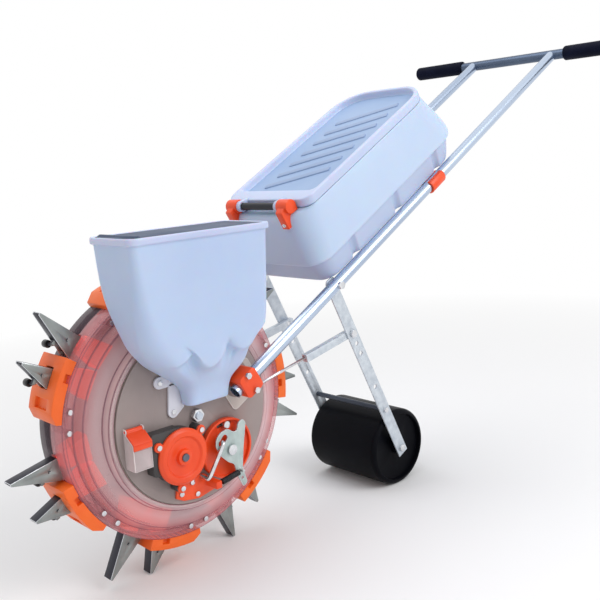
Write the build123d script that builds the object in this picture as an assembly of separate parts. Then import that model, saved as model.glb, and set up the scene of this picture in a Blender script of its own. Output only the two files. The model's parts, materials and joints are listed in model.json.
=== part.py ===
"""Walk-behind seed planter: a drum of duckbill beaks under a seed hopper, pushed by two sloping handle tubes
that carry a tank, with a press roller on struts behind.

Frame while modelling: X runs to the rear, Y to the far side and Z up, the ground is z = 0 and the drum axle
stands over x = 0. The near side, at negative Y, carries the metering gear. The finished part is moved along X so
that the origin lies under the middle of its length. Sizes are in millimetres; angles are in degrees, taken
anticlockwise as seen from the near side. Heights on the side plate are taken from the axle.
"""

from build123d import *

import math
import os

# Beaks: seven pairs around the drum, a seed beak followed by a smaller fertiliser beak
PAIR_COUNT = 7
PAIR_LEAD = 15.1
FIRST_SEED_ANGLE = 137.1
SEED_TIP_RADIUS = 286.0
FERT_TIP_RADIUS = 275.5
SEED_TRAIL = 8.0
SEED_LEAD = 28.0
FERT_TRAIL = 7.0
FERT_LEAD = 25.0
BEAK_WIDTH = 21.0
BEAK_SHEET = 1.5
BEAK_TIP_HALF = 2.0
JAW_SIDE_GAP = 0.4
JAW_TIP_GAP = 0.5
JAW_FOOT = 5.0
SEED_PIN = (226.0, 8.0)
FERT_PIN = (240.0, 8.0)
SEED_KNOB = (238.0, 25.0)
FERT_KNOB = (244.0, 24.0)
PIN_RADIUS = 2.0
KNOB_RADIUS = 6.0
KNOB_WIDTH = 10.0
KNOB_Y = 16.5
KNOB_PEG_RADIUS = 2.0
STRIKER_WIDTH = 6.0

# Drum: two moulded halves screwed together, seats on the rim and chutes inside it
RIM_RADIUS = 210.0
RIM_INNER = 204.0
RIM_HALF_WIDTH = 36.0
LAND_RADIUS = 194.0
STEP_RADIUS = 186.0
STEP_Y = 52.0
LIP_OUTER = 154.0
LIP_INNER = 144.5
LIP_Y = 70.0
SHELL_WALL = 3.0
BOSS_REACH = 198.6
BOSS_RADIUS = 5.0
BOSS_LEADS = (29.0, 38.0)
SEAT_HEIGHT = 18.0
SEAT_HALF_WIDTH = 36.5
SEAT_BACK = 6.6
SEAT_FRONT = 19.0
SEAT_GAP = 0.5
SEAT_SLOPE = 9.0
SEAT_SLOPE_TURN = 4.0
SEAT_RECESS = 6.0
SEAT_RECESS_TURNS = (9.0, 5.0)
SEAT_WINDOW = (10.0, 13.0)
SEAT_WINDOW_PLACE = (4.0, 3.0)
SEAT_WINDOW_DEPTH = 9.0
CHUTE_REACH = 158.0
CHUTE_WALL = 2.0
CHUTE_HALF_WIDTH = 14.0
SEED_MOUTH = (24.0, 18.0)
FERT_MOUTH = (20.0, 26.0)
SEED_HOLE_LENGTH = 20.0
SEED_HOLE_WIDTH = 14.0

# Axle, hub and bearings
JOURNAL_RADIUS = 8.5
AXLE_END_RADIUS = 6.0
COLLAR_RADIUS = 12.0
BEARING_RADIUS = 20.0
BEARING_WIDTH = 12.0
HUB_RADIUS = 28.0
HUB_FLANGE_RADIUS = 46.0
HUB_START = 6.0
RUNNING_GAP = 0.05
NUT_ACROSS = 19.0
NUT_THICKNESS = 10.0

# Side plate on the near side and the arm on the far side
PLATE_RADIUS = 143.0
PLATE_Y = 72.5
PLATE_THICKNESS = 4.0
ARM_Y = 79.5
ARM_THICKNESS = 4.0
ARM_HUB_RADIUS = 22.0
SEAT_PAD_Y = 88.0

# Internal ring gear on the drum and the two pinions that it drives
GEAR_MODULE = 4.25
RING_TEETH = 56
SEED_TEETH = 24
FERT_TEETH = 16
GEAR_Y = 66.0
GEAR_BACK_Y = 54.0
GEAR_BACKLASH = 0.9
RING_OUTER = 151.0
PRESSURE_ANGLE = 20.0
SEED_SHAFT_ANGLE = 229.3
TEETH_BETWEEN_SHAFTS = 12

# Seed meter
SHAFT_RADIUS = 6.0
CELL_WHEEL_RADIUS = 30.0
CELL_RADIUS = 7.0
CELL_COUNT = 3
HOUSING_RADIUS = 44.5
HOUSING_Y = 92.0
HOUSING_LEFT = -97.0
HOUSING_ARM_LOW = 18.0
HOUSING_ARM_HIGH = 30.0
HOUSING_ARM_ROOT = 35.0
CHAMBER_RADIUS = 32.0
WHEEL_GAP = 3.0
COVER_RADIUS = 45.0
COVER_Y = 101.0
EAR_REACH = 50.0
EAR_RADIUS = 7.5
EAR_SHEET = 4.0
EAR_ANGLES = (148.0, 42.0, 262.0)

# Rate dial, lever, link rod, spring and their bracket
STUD_RADIUS = 5.0
FLUTE_RADIUS = 24.0
FLUTE_LENGTH = 18.0
DIAL_RADIUS = 50.0
DIAL_BACK_Y = 74.0
DIAL_FACE_Y = 78.0
DIAL_LIP_Y = 84.0
DIAL_LIP = 4.0
DIAL_HUB_RADIUS = 12.0
DIAL_HUB_Y = 88.0
DIAL_SLOT_RADIUS = 40.0
DIAL_SLOT_WIDTH = 7.0
DIAL_TURN = 16.0
LOCK_RADIUS = 3.0
LEVER_Y = 94.0
LEVER_SHEET = 3.0
LINK_RADIUS = 2.8
LINK_TOP = (33.0, -51.0)
LINK_FOOT = (-2.0, -102.0)
LINK_Y = 98.0
SPRING_WIRE_RADIUS = 0.65
SPRING_COIL = 3.8
SPRING_TURNS = 12
SPRING_LEAD = 5.0
SPRING_GAP = 0.15
SPRING_START = (17.0, -114.0)
SPRING_PEG = (63.5, -107.0)
SPRING_PEG_RADIUS = 2.5
SPRING_Y = 100.0
BRACKET_SHEET = 4.0

# Feed pocket and its flap
POCKET_LEFT = -132.0
POCKET_RIGHT = -100.0
POCKET_TOP = -12.0
POCKET_BOTTOM = -50.0
POCKET_Y = 98.0
POCKET_WALL = 2.0
FLAP_SHEET = 3.0
FLAP_HINGE = (-77.0, 8.0)
FLAP_SLOPE = 35.0
FLAP_REACH = 29.0
FLAP_LIP = 2.5
FLAP_LIP_DROP = 5.0
FLAP_EAR = 4.5
FLAP_BARREL = 3.5
FLAP_PIN_RADIUS = 2.0
REST_GAP = 0.3

# Hopper: plan sections from the rim down to the neck as (height, front, rear, near, far)
HOPPER_SECTIONS = (
    (300.0, -134.0, 115.0, -149.0, -38.0),
    (214.0, -131.0, 106.0, -148.0, -41.0),
    (175.0, -122.0, 103.0, -147.0, -60.0),
    (142.0, -113.0, 100.0, -146.0, -77.0),
    (104.0, -88.0, 97.0, -146.0, -77.0),
    (78.0, -60.0, 78.0, -128.0, -77.0),
    (50.0, -52.0, 45.0, -108.0, -77.0),
    (27.0, -50.0, 38.0, -101.0, -77.0),
)
HOPPER_WALL = 2.5
HOPPER_CORNER = 11.0
HOPPER_RIM = 4.0
HOPPER_RIM_HEIGHT = 12.0
HOPPER_EARS = ((-63.0, 67.0), (-42.5, 16.4))
HOPPER_EAR_RADIUS = 9.0
OUTLET = ((-36.0, 36.0), (-8.0, 62.0))
HOPPER_LID_SHEET = 3.0
HOPPER_LID_TOP = 296.5
HOPPER_LID_GAP = 2.0
HOPPER_HINGE = (-118.0, 295.0)
HOPPER_BARREL = 4.5
HOPPER_PIN_RADIUS = 3.0

# Handle tubes and handlebar
TUBE_RADIUS = 11.0
TUBE_WALL = 1.5
TUBE_Y = 105.5
TUBE_LENGTH = 1134.0
TUBE_SLOPE = 29.4
TUBE_FOOT_X = 57.0
TUBE_FOOT_RISE = 28.0
COPE_FLAT = 5.0
HANDLEBAR_HALF = 271.0
GRIP_RADIUS = 16.0
GRIP_LENGTH = 139.0
GRIP_CAP = 7.0
CLAMP_MIDDLE = 26.5
CLAMP_LENGTH = 37.0
CLAMP_HEIGHT = 40.0
CLAMP_Y = 122.0
CLAMP_BOLT_OFFSET = 15.5
CLAMP_BOLT_RADIUS = 3.0

# Tank on the tubes: plan sections as (height off the tubes, front, rear, half width, front and rear corners)
TANK_SECTIONS = (
    (11.0, 268.0, 690.0, 107.0, 22.0, 55.0),
    (50.0, 262.0, 731.0, 112.0, 25.0, 66.0),
    (54.0, 259.0, 735.0, 116.0, 25.0, 68.0),
    (80.0, 258.0, 732.0, 115.0, 25.0, 68.0),
    (150.0, 258.0, 700.0, 109.0, 25.0, 65.0),
)
TANK_WALL = 3.0
TANK_BAND_WALL = 12.0
TANK_BAND_LEVELS = 2
GROOVE_FIRST = 356.0
GROOVE_PITCH = 141.0
GROOVE_COUNT = 3
GROOVE_RADIUS = 9.0
DECK_LENGTH = 41.0
LID_SHEET = 3.0
LID_RIM = 9.0
LID_RIM_HEIGHT = 17.0
LID_RIB_COUNT = 7
LID_RIB_WIDTH = 6.0
LID_RIB_HEIGHT = 3.0
HINGE_ALONG = 286.0
HINGE_ROD_RADIUS = 6.5
HINGE_Y = 68.0
KNUCKLE_RADIUS = 12.5
KNUCKLE_WIDTH = 26.0
LUG_RADIUS = 10.0
LUG_WIDTH = 9.0
TAB_LENGTH = 24.0
TAB_SHEET = 5.0
CLIP_START = 590.0
CLIP_LENGTH = 44.0
CLIP_WALL = 4.0
CLIP_TAB = 36.0

# Struts, stays and press roller
STRUT_ALONG_TUBE = 280.0
STRUT_WIDTH = 26.0
STRUT_SHEET = 3.0
STRUT_END = 15.0
ROLLER_X = 471.0
ROLLER_RADIUS = 76.5
ROLLER_WALL = 5.0
ROLLER_END_GAP = 2.5
ROLLER_RECESS = 10.0
ROLLER_EDGE = 9.0
ROLLER_BOSS = 14.0
ROLLER_AXLE_RADIUS = 8.0
STAY_BOLT = 110.0
SPARE_HOLES = (133.0, 156.0, 237.0)
SPARE_HOLE_RADIUS = 4.25
TIE_DROP = 295.0
TIE_RADIUS = 5.0
TIE_BOLT_RADIUS = 3.0
STAY_HEIGHT = 14.0
STAY_DEPTH = 12.0
STAY_TUBE_LENGTH = 118.0
STAY_SOCKET = 24.0
STAY_ROD_RADIUS = 3.5
EYE = (116.0, 19.0)
EYE_RADIUS = 9.0
EYE_Y = 87.5
STRUT_BOLT_RADIUS = 4.0
BOLT_HEAD = 5.0

# Small pan screws
SCREW_RADIUS = 2.0
SCREW_HEAD_RADIUS = 4.2
SCREW_HEAD = 2.6

PITCH = 360.0 / PAIR_COUNT
SEED_ANGLES = [FIRST_SEED_ANGLE + PITCH * i for i in range(PAIR_COUNT)]
FERT_ANGLES = [angle + PAIR_LEAD for angle in SEED_ANGLES]


def tip_depth(radius, angle):
    """How far the lower corner of a beak tip lies under the axle."""
    turn = math.radians(angle)
    return -radius * math.sin(turn) + BEAK_TIP_HALF * abs(math.cos(turn))


def polar(radius, angle):
    turn = math.radians(angle)
    return radius * math.cos(turn), radius * math.sin(turn)


def plus(point, step):
    return point[0] + step[0], point[1] + step[1]


AXLE_HEIGHT = max(
    [tip_depth(SEED_TIP_RADIUS, angle) for angle in SEED_ANGLES]
    + [tip_depth(FERT_TIP_RADIUS, angle) for angle in FERT_ANGLES]
)
PLATE_BACK_Y = PLATE_Y - PLATE_THICKNESS
TUBE_INNER = TUBE_Y - TUBE_RADIUS
STRUT_INNER = TUBE_INNER - STRUT_SHEET
STAY_INNER = STRUT_INNER - STAY_DEPTH
RING_PITCH_RADIUS = GEAR_MODULE * RING_TEETH / 2
FERT_SHAFT_ANGLE = SEED_SHAFT_ANGLE + TEETH_BETWEEN_SHAFTS * 360.0 / RING_TEETH
SEED_SHAFT = polar(GEAR_MODULE * (RING_TEETH - SEED_TEETH) / 2, SEED_SHAFT_ANGLE)
FERT_SHAFT = polar(GEAR_MODULE * (RING_TEETH - FERT_TEETH) / 2, FERT_SHAFT_ANGLE)

AXLE_AXIS = Axis((0, 0, AXLE_HEIGHT), (0, -1, 0))
RISE = math.radians(TUBE_SLOPE)
# On the deck, x runs up the tubes, y to the far side and z square off the tubes
DECK = Plane(
    origin=(TUBE_FOOT_X, 0, AXLE_HEIGHT + TUBE_FOOT_RISE),
    x_dir=(math.cos(RISE), 0, math.sin(RISE)),
    z_dir=(-math.sin(RISE), 0, math.cos(RISE)),
)


def on_deck(along, off):
    """Side view place (x, height over the axle) of a point on the deck."""
    x = TUBE_FOOT_X + along * math.cos(RISE) - off * math.sin(RISE)
    return x, TUBE_FOOT_RISE + along * math.sin(RISE) + off * math.cos(RISE)


TANK_TOP = TANK_SECTIONS[-1][0]
HINGE_OFF = TANK_TOP + KNUCKLE_RADIUS
STRUT_TOP = on_deck(STRUT_ALONG_TUBE, 0)
STRUT_FOOT = (ROLLER_X, ROLLER_RADIUS - AXLE_HEIGHT)
STRUT_LENGTH = math.dist(STRUT_TOP, STRUT_FOOT)
STRUT_ANGLE = math.degrees(math.atan2(STRUT_FOOT[1] - STRUT_TOP[1], STRUT_FOOT[0] - STRUT_TOP[0]))


def on_strut(drop):
    return plus(STRUT_TOP, polar(drop, STRUT_ANGLE))


STAY_START = on_strut(STAY_BOLT)
STAY_ANGLE = math.degrees(math.atan2(EYE[1] - STAY_START[1], EYE[0] - STAY_START[0]))


def near_plane(y):
    """Plane facing the near side with its origin on the axle: local x is X and local y is Z."""
    return Plane(origin=(0, y, AXLE_HEIGHT), x_dir=(1, 0, 0), z_dir=(0, -1, 0))


def slab(sketch, y_near, y_far):
    """Prism of a side view sketch drawn about the axle, from y_near (the lower y) to y_far."""
    return extrude(near_plane(y_far) * sketch, amount=y_far - y_near, dir=(0, -1, 0))


def centred_slab(sketch, width):
    return slab(sketch, -width / 2, width / 2)


def polygon(points):
    return Polygon(*points, align=None)


def disc(centre, radius, y_near, y_far):
    return slab(Pos(*centre) * Circle(radius), y_near, y_far)


def hexagon(centre, across, y_near, y_far):
    return slab(Pos(*centre) * RegularPolygon(across / 2, 6, major_radius=False), y_near, y_far)


def box_between(corner, opposite):
    size = [abs(b - a) for a, b in zip(corner, opposite)]
    middle = [(a + b) / 2 for a, b in zip(corner, opposite)]
    return Pos(*middle) * Box(*size)


def plate_box(corner, opposite):
    """Box between two (x, y, height over the axle) corners."""
    return Pos(0, 0, AXLE_HEIGHT) * box_between(corner, opposite)


def bar_along(plane, start, length, radius):
    """Round bar in a plane's own axes, along its x from the start point."""
    return plane * Pos(*start) * Rot(0, 90, 0) * Pos(0, 0, length / 2) * Cylinder(radius, length)


def bar_across(plane, place, y_from, y_to, radius):
    """Round bar along y at the (x, z) place of a plane's own axes."""
    middle = (place[0], (y_from + y_to) / 2, place[1])
    return plane * Pos(*middle) * Rot(90, 0, 0) * Cylinder(radius, abs(y_to - y_from))


def spun(points, centre=(0, 0)):
    """Solid of revolution about an axis along y, from (radius, y) points."""
    return Pos(centre[0], 0, AXLE_HEIGHT + centre[1]) * revolve(polygon(points), Axis.Y)


def turned(shape, angle):
    return shape.rotate(AXLE_AXIS, angle)


def mirrored(shape):
    return mirror(shape, Plane.XZ)


def both_sides(shapes):
    return [*shapes, *[mirrored(shape) for shape in shapes]]


def without(shape, *tools):
    for tool in tools:
        shape = shape - tool
    return shape


# Beaks, drawn lying along X from the axle: x is the radius and the height is the lead

def beak_wedge(tip_radius, trail, lead, shoulder):
    """Side outline of a beak; its foot reaches into the rim and is trimmed to it."""
    return [
        (RIM_INNER, -trail),
        (RIM_INNER, lead),
        (shoulder, lead),
        (tip_radius, BEAK_TIP_HALF),
        (tip_radius, -BEAK_TIP_HALF),
    ]


SEED_WEDGE = beak_wedge(SEED_TIP_RADIUS, SEED_TRAIL, SEED_LEAD, RIM_RADIUS + 3)
FERT_WEDGE = beak_wedge(FERT_TIP_RADIUS, FERT_TRAIL, FERT_LEAD, RIM_RADIUS + SEAT_HEIGHT)


def beak_body(wedge, pin):
    """Fixed half of a beak: a folded sheet with two cheeks and a web on its trailing side."""
    body = centred_slab(polygon(wedge), BEAK_WIDTH)
    hollow = [plus(point, (0, BEAK_SHEET)) for point in wedge]
    body -= centred_slab(polygon(hollow), BEAK_WIDTH - 2 * BEAK_SHEET)
    rim = disc((0, 0), RIM_RADIUS, -BEAK_WIDTH, BEAK_WIDTH)
    return without(body, rim, disc(pin, PIN_RADIUS, -BEAK_WIDTH, BEAK_WIDTH))


def beak_jaw(wedge, pin, knob_place):
    """Moving half of a beak, nested between the cheeks with its striker arm, and the knob of the striker."""
    shoulder, tip = wedge[2], wedge[3]
    run = (tip[0] - shoulder[0], tip[1] - shoulder[1])
    slope = run[1] / run[0]
    start = pin[0] - JAW_FOOT
    start_lead = shoulder[1] + slope * (start - shoulder[0]) if start > shoulder[0] else shoulder[1]
    trail = tip[1] - BEAK_SHEET - JAW_TIP_GAP
    end = tip[0] - JAW_TIP_GAP
    outline = [(start, trail), (start, start_lead), (end, tip[1]), (end, trail)]
    width = BEAK_WIDTH - 2 * (BEAK_SHEET + JAW_SIDE_GAP)
    length = math.hypot(*run)
    inward = (run[1] / length * BEAK_SHEET, -run[0] / length * BEAK_SHEET)
    hollow = [plus(point, inward) for point in outline]
    hollow[0] = plus(hollow[0], (-BEAK_SHEET, 0))
    hollow[1] = plus(hollow[1], (-BEAK_SHEET, -slope * BEAK_SHEET))
    cavity = centred_slab(polygon(hollow), width - 2 * BEAK_SHEET)
    half = STRIKER_WIDTH / 2
    root = (knob_place[0] - half, trail + BEAK_SHEET)
    arm_outline = [
        root,
        plus(root, (STRIKER_WIDTH, 0)),
        plus(knob_place, (half, 0)),
        plus(knob_place, (-half, 0)),
    ]
    arm = centred_slab(polygon(arm_outline), STRIKER_WIDTH)
    knob_start = KNOB_Y - KNOB_WIDTH / 2
    knob_end = KNOB_Y + KNOB_WIDTH / 2
    peg = disc(knob_place, KNOB_PEG_RADIUS, 0, knob_end - KNOB_PEG_RADIUS)
    jaw = centred_slab(polygon(outline), width) - cavity + arm + peg
    jaw -= disc(pin, PIN_RADIUS + RUNNING_GAP, -BEAK_WIDTH, BEAK_WIDTH)
    knob = disc(knob_place, KNOB_RADIUS, knob_start, knob_end) - jaw
    return [jaw, knob]


def beak_pin(pin):
    reach = BEAK_WIDTH / 2 + BEAK_SHEET
    return disc(pin, PIN_RADIUS, -reach, reach)


def ring_sector(inner, outer, start, end):
    middle = (start + end) / 2
    return make_face([
        ThreePointArc(polar(outer, start), polar(outer, middle), polar(outer, end)),
        Line(polar(outer, end), polar(inner, end)),
        ThreePointArc(polar(inner, end), polar(inner, middle), polar(inner, start)),
        Line(polar(inner, start), polar(outer, start)),
    ])


def fert_seat():
    """Orange seat with a sloped front, a recess behind, a window in its near side and a slot for its beak."""
    top = RIM_RADIUS + SEAT_HEIGHT
    half = SEAT_HALF_WIDTH
    seat = centred_slab(ring_sector(RIM_RADIUS, top, -SEAT_BACK, SEAT_FRONT), 2 * half)
    front = polar(top, SEAT_FRONT)
    turn = SEAT_FRONT - SEAT_SLOPE_TURN
    slope = polygon([front, polar(top + SEAT_SLOPE, turn), polar(top, turn), polar(top - SEAT_SLOPE, SEAT_FRONT)])
    first, last = [SEAT_FRONT - step for step in SEAT_RECESS_TURNS]
    recess = ring_sector(top - SEAT_RECESS, top + SEAT_RECESS, first, last)
    window = Pos(*plus((RIM_RADIUS, 0), SEAT_WINDOW_PLACE)) * Rectangle(*SEAT_WINDOW)
    slot = Pos(RIM_RADIUS, (FERT_LEAD - FERT_TRAIL) / 2)
    slot = slot * Rectangle(4 * SEAT_HEIGHT, FERT_LEAD + FERT_TRAIL + 2 * SEAT_GAP)
    return without(
        seat,
        centred_slab(slope, 2 * half),
        centred_slab(recess, half),
        slab(window, -half, SEAT_WINDOW_DEPTH - half),
        centred_slab(slot, BEAK_WIDTH + 2 * SEAT_GAP),
    )


def chute(trail, lead):
    """Funnel inside the rim that leads grain to one beak, open at both ends."""
    half = SEED_HOLE_LENGTH / 2 + CHUTE_WALL
    wall = CHUTE_WALL
    outer = [(RIM_RADIUS, -half), (RIM_RADIUS, half), (CHUTE_REACH, lead), (CHUTE_REACH, -trail)]
    inner = [
        (RIM_RADIUS, wall - half),
        (RIM_RADIUS, half - wall),
        (CHUTE_REACH - wall, lead - wall),
        (CHUTE_REACH - wall, wall - trail),
    ]
    inside = disc((0, 0), RIM_INNER, -CHUTE_HALF_WIDTH, CHUTE_HALF_WIDTH)
    funnel = centred_slab(polygon(outer), 2 * CHUTE_HALF_WIDTH) & inside
    return funnel - centred_slab(polygon(inner), 2 * (CHUTE_HALF_WIDTH - wall))


def chutes():
    seed = chute(*SEED_MOUTH)
    fert = chute(*FERT_MOUTH)
    return [turned(seed, angle) for angle in SEED_ANGLES] + [turned(fert, angle) for angle in FERT_ANGLES]


# Drum

def shell_profile(centre_radius):
    """(radius, distance from the middle) outline of one half of the drum, open to its centre radius."""
    wall = SHELL_WALL
    return [
        (RIM_RADIUS, 0),
        (RIM_RADIUS, RIM_HALF_WIDTH),
        (LAND_RADIUS, RIM_HALF_WIDTH),
        (STEP_RADIUS, STEP_Y),
        (LIP_OUTER + wall, STEP_Y + 5),
        (LIP_OUTER, LIP_Y),
        (centre_radius, LIP_Y),
        (centre_radius, LIP_Y - wall),
        (LIP_OUTER - wall, LIP_Y - wall),
        (LIP_OUTER, STEP_Y + 2),
        (STEP_RADIUS - wall, STEP_Y - wall),
        (LAND_RADIUS - wall, RIM_HALF_WIDTH - wall),
        (RIM_INNER, RIM_HALF_WIDTH - wall),
        (RIM_INNER, 0),
    ]


def boss_places():
    return [polar(BOSS_REACH, angle + lead) for angle in SEED_ANGLES for lead in BOSS_LEADS]


def seed_holes():
    hole = centred_slab(Pos(RIM_RADIUS, 0) * Rectangle(40, SEED_HOLE_LENGTH), SEED_HOLE_WIDTH)
    return [turned(hole, angle) for angle in SEED_ANGLES + FERT_ANGLES]


def near_shell():
    """Clear half with a stepped ring that leaves the middle open for the side plate."""
    shell = spun([(radius, -y) for radius, y in shell_profile(LIP_INNER)])
    for place in boss_places():
        shell += disc(place, BOSS_RADIUS, SHELL_WALL - RIM_HALF_WIDTH, 0)
    shanks = [disc(place, SCREW_RADIUS, -RIM_HALF_WIDTH, 0) for place in boss_places()]
    return without(shell, *seed_holes(), *shanks)


def far_shell():
    """Smoky half closed by a disc, with a hole for the hub."""
    shell = spun(shell_profile(HUB_RADIUS))
    for place in boss_places():
        shell += disc(place, BOSS_RADIUS, 0, RIM_HALF_WIDTH - SHELL_WALL)
    shanks = [disc(place, SCREW_RADIUS, 0, 15) for place in boss_places()]
    return without(shell, *seed_holes(), *shanks, *hub_screw_shanks())


def hub_screw_places():
    reach = (HUB_RADIUS + HUB_FLANGE_RADIUS) / 2
    return [polar(reach, 60.0 * i) for i in range(6)]


def hub_screw_shanks():
    return [disc(place, SCREW_RADIUS, LIP_Y - 2 * SHELL_WALL, LIP_Y) for place in hub_screw_places()]


def drum_screws():
    """Screws that join the two halves, then those that hold the far half to the hub."""
    screws = []
    for place in boss_places():
        head = disc(place, SCREW_HEAD_RADIUS, -RIM_HALF_WIDTH - SCREW_HEAD, -RIM_HALF_WIDTH)
        screws.append(head + disc(place, SCREW_RADIUS, -RIM_HALF_WIDTH, 15))
    for place, shank in zip(hub_screw_places(), hub_screw_shanks()):
        screws.append(shank + disc(place, SCREW_HEAD_RADIUS, LIP_Y, LIP_Y + SCREW_HEAD))
    return screws


def bearing_starts():
    return [HUB_START, LIP_Y - BEARING_WIDTH]


def drum_hub():
    """Hub on two bearings with a flange against the far disc."""
    flange_y = LIP_Y - SHELL_WALL
    hub = disc((0, 0), HUB_RADIUS, HUB_START, LIP_Y)
    hub += disc((0, 0), HUB_FLANGE_RADIUS, flange_y - SHELL_WALL, flange_y)
    bore = disc((0, 0), BEARING_RADIUS - 2, HUB_START, LIP_Y)
    seats = [disc((0, 0), BEARING_RADIUS, start, start + BEARING_WIDTH) for start in bearing_starts()]
    return without(hub, bore, *seats, *hub_screw_shanks())


def hub_bearings():
    ring = Circle(BEARING_RADIUS) - Circle(JOURNAL_RADIUS + RUNNING_GAP)
    return [slab(ring, start, start + BEARING_WIDTH) for start in bearing_starts()]


def axle():
    """Fixed axle: a journal for the bearings between two collars, and threaded ends through plate and arm."""
    near_end = -PLATE_Y - NUT_THICKNESS - 3
    far_end = ARM_Y + NUT_THICKNESS + 3
    arm_inner = ARM_Y - ARM_THICKNESS
    return spun([
        (0, near_end),
        (AXLE_END_RADIUS, near_end),
        (AXLE_END_RADIUS, -PLATE_BACK_Y),
        (JOURNAL_RADIUS, -PLATE_BACK_Y),
        (JOURNAL_RADIUS, HUB_START - 10),
        (COLLAR_RADIUS, HUB_START - 10),
        (COLLAR_RADIUS, HUB_START - REST_GAP),
        (JOURNAL_RADIUS, HUB_START - REST_GAP),
        (JOURNAL_RADIUS, LIP_Y + REST_GAP),
        (COLLAR_RADIUS, LIP_Y + REST_GAP),
        (COLLAR_RADIUS, arm_inner),
        (AXLE_END_RADIUS, arm_inner),
        (AXLE_END_RADIUS, far_end),
        (0, far_end),
    ])


# Gears and meters

def involute(angle):
    return math.tan(angle) - angle


def gear_face(teeth, tip_radius, root_radius, thickness, first_angle):
    """Outline of a gear with straight-sided teeth whose corners lie on the involute."""
    pitch_radius = GEAR_MODULE * teeth / 2
    pressure = math.radians(PRESSURE_ANGLE)
    base_radius = pitch_radius * math.cos(pressure)

    def half_angle(radius):
        roll = math.acos(min(1.0, base_radius / radius))
        return math.degrees(thickness / (2 * pitch_radius) + involute(pressure) - involute(roll))

    points = []
    for i in range(teeth):
        middle = first_angle + 360.0 * i / teeth
        for radius, side in ((root_radius, -1), (tip_radius, -1), (tip_radius, 1), (root_radius, 1)):
            points.append(polar(radius, middle + side * half_angle(radius)))
    return polygon(points)


def pinion_face(teeth, angle):
    pitch_radius = GEAR_MODULE * teeth / 2
    thickness = GEAR_MODULE * math.pi / 2 - GEAR_BACKLASH / 2
    return gear_face(teeth, pitch_radius + 0.8 * GEAR_MODULE, pitch_radius - 1.1 * GEAR_MODULE, thickness, angle)


def ring_gear():
    """Internal gear that sits inside the lip of the near half."""
    spaces = gear_face(
        RING_TEETH,
        RING_PITCH_RADIUS + 1.1 * GEAR_MODULE,
        RING_PITCH_RADIUS - 0.8 * GEAR_MODULE,
        GEAR_MODULE * math.pi / 2 + GEAR_BACKLASH / 2,
        SEED_SHAFT_ANGLE,
    )
    return slab(Circle(RING_OUTER) - spaces, -GEAR_Y, -GEAR_BACK_Y)


def seed_rotor():
    """Pinion, shaft and cell wheel of the seed meter, in one piece."""
    rotor = slab(Pos(*SEED_SHAFT) * pinion_face(SEED_TEETH, SEED_SHAFT_ANGLE), -GEAR_Y, -GEAR_BACK_Y)
    rotor += disc(SEED_SHAFT, SHAFT_RADIUS, -COVER_Y - 2, -GEAR_BACK_Y)
    near, far = WHEEL_GAP - HOUSING_Y, -PLATE_Y - WHEEL_GAP
    wheel = disc(SEED_SHAFT, CELL_WHEEL_RADIUS, near, far)
    for i in range(CELL_COUNT):
        cell = plus(SEED_SHAFT, polar(CELL_WHEEL_RADIUS, 90.0 + 360.0 * i / CELL_COUNT))
        wheel -= disc(cell, CELL_RADIUS, near, far)
    return rotor + wheel


def fert_rotor():
    """Pinion and fluted roller of the fertiliser meter, turning on the stud behind the plate."""
    rotor = slab(Pos(*FERT_SHAFT) * pinion_face(FERT_TEETH, FERT_SHAFT_ANGLE), -GEAR_Y, -GEAR_BACK_Y)
    end = FLUTE_LENGTH - GEAR_BACK_Y
    roller = disc(FERT_SHAFT, FLUTE_RADIUS, -GEAR_BACK_Y, end)
    for i in range(6):
        flute = plus(FERT_SHAFT, polar(FLUTE_RADIUS, 60.0 * i))
        roller -= disc(flute, FLUTE_RADIUS / 4, -GEAR_BACK_Y, end)
    return rotor + roller - disc(FERT_SHAFT, STUD_RADIUS + RUNNING_GAP, -GEAR_Y, end)


def ear_places():
    return [plus(SEED_SHAFT, polar(EAR_REACH, angle)) for angle in EAR_ANGLES]


def meter_housing():
    """Grey housing around the cell wheel, reaching left towards the feed pocket."""
    x, z = SEED_SHAFT
    left = polygon([
        (HOUSING_LEFT, z - HOUSING_ARM_LOW),
        (HOUSING_LEFT, z + HOUSING_ARM_HIGH),
        (x, z + HOUSING_ARM_ROOT),
        (x, z - HOUSING_ARM_ROOT),
    ])
    body = disc(SEED_SHAFT, HOUSING_RADIUS, -HOUSING_Y, -PLATE_Y) + slab(left, -HOUSING_Y, -PLATE_Y)
    for place in ear_places():
        body += disc(place, EAR_RADIUS, -HOUSING_Y, -PLATE_Y)
    return without(body, disc(SEED_SHAFT, CHAMBER_RADIUS, -HOUSING_Y, -PLATE_Y), *screw_shanks())


def meter_cover():
    """Orange dished cover with concentric steps, a shaft boss and three screw ears."""
    bore = SHAFT_RADIUS + RUNNING_GAP
    near, back = -COVER_Y, -HOUSING_Y
    cover = spun(
        [
            (bore, back),
            (COVER_RADIUS, back),
            (COVER_RADIUS, back - 4),
            (COVER_RADIUS - 5, near + 1),
            (COVER_RADIUS - 12, near + 1),
            (COVER_RADIUS - 15, back - 4),
            (COVER_RADIUS - 22, back - 4),
            (COVER_RADIUS - 24, back - 3),
            (2.2 * SHAFT_RADIUS, back - 3),
            (2 * SHAFT_RADIUS, near),
            (bore, near),
        ],
        SEED_SHAFT,
    )
    for place in ear_places():
        cover += disc(place, EAR_RADIUS, back - EAR_SHEET, back)
    bosses = disc(SEED_SHAFT, bore, near, back)
    return without(cover, bosses, *screw_shanks())


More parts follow.
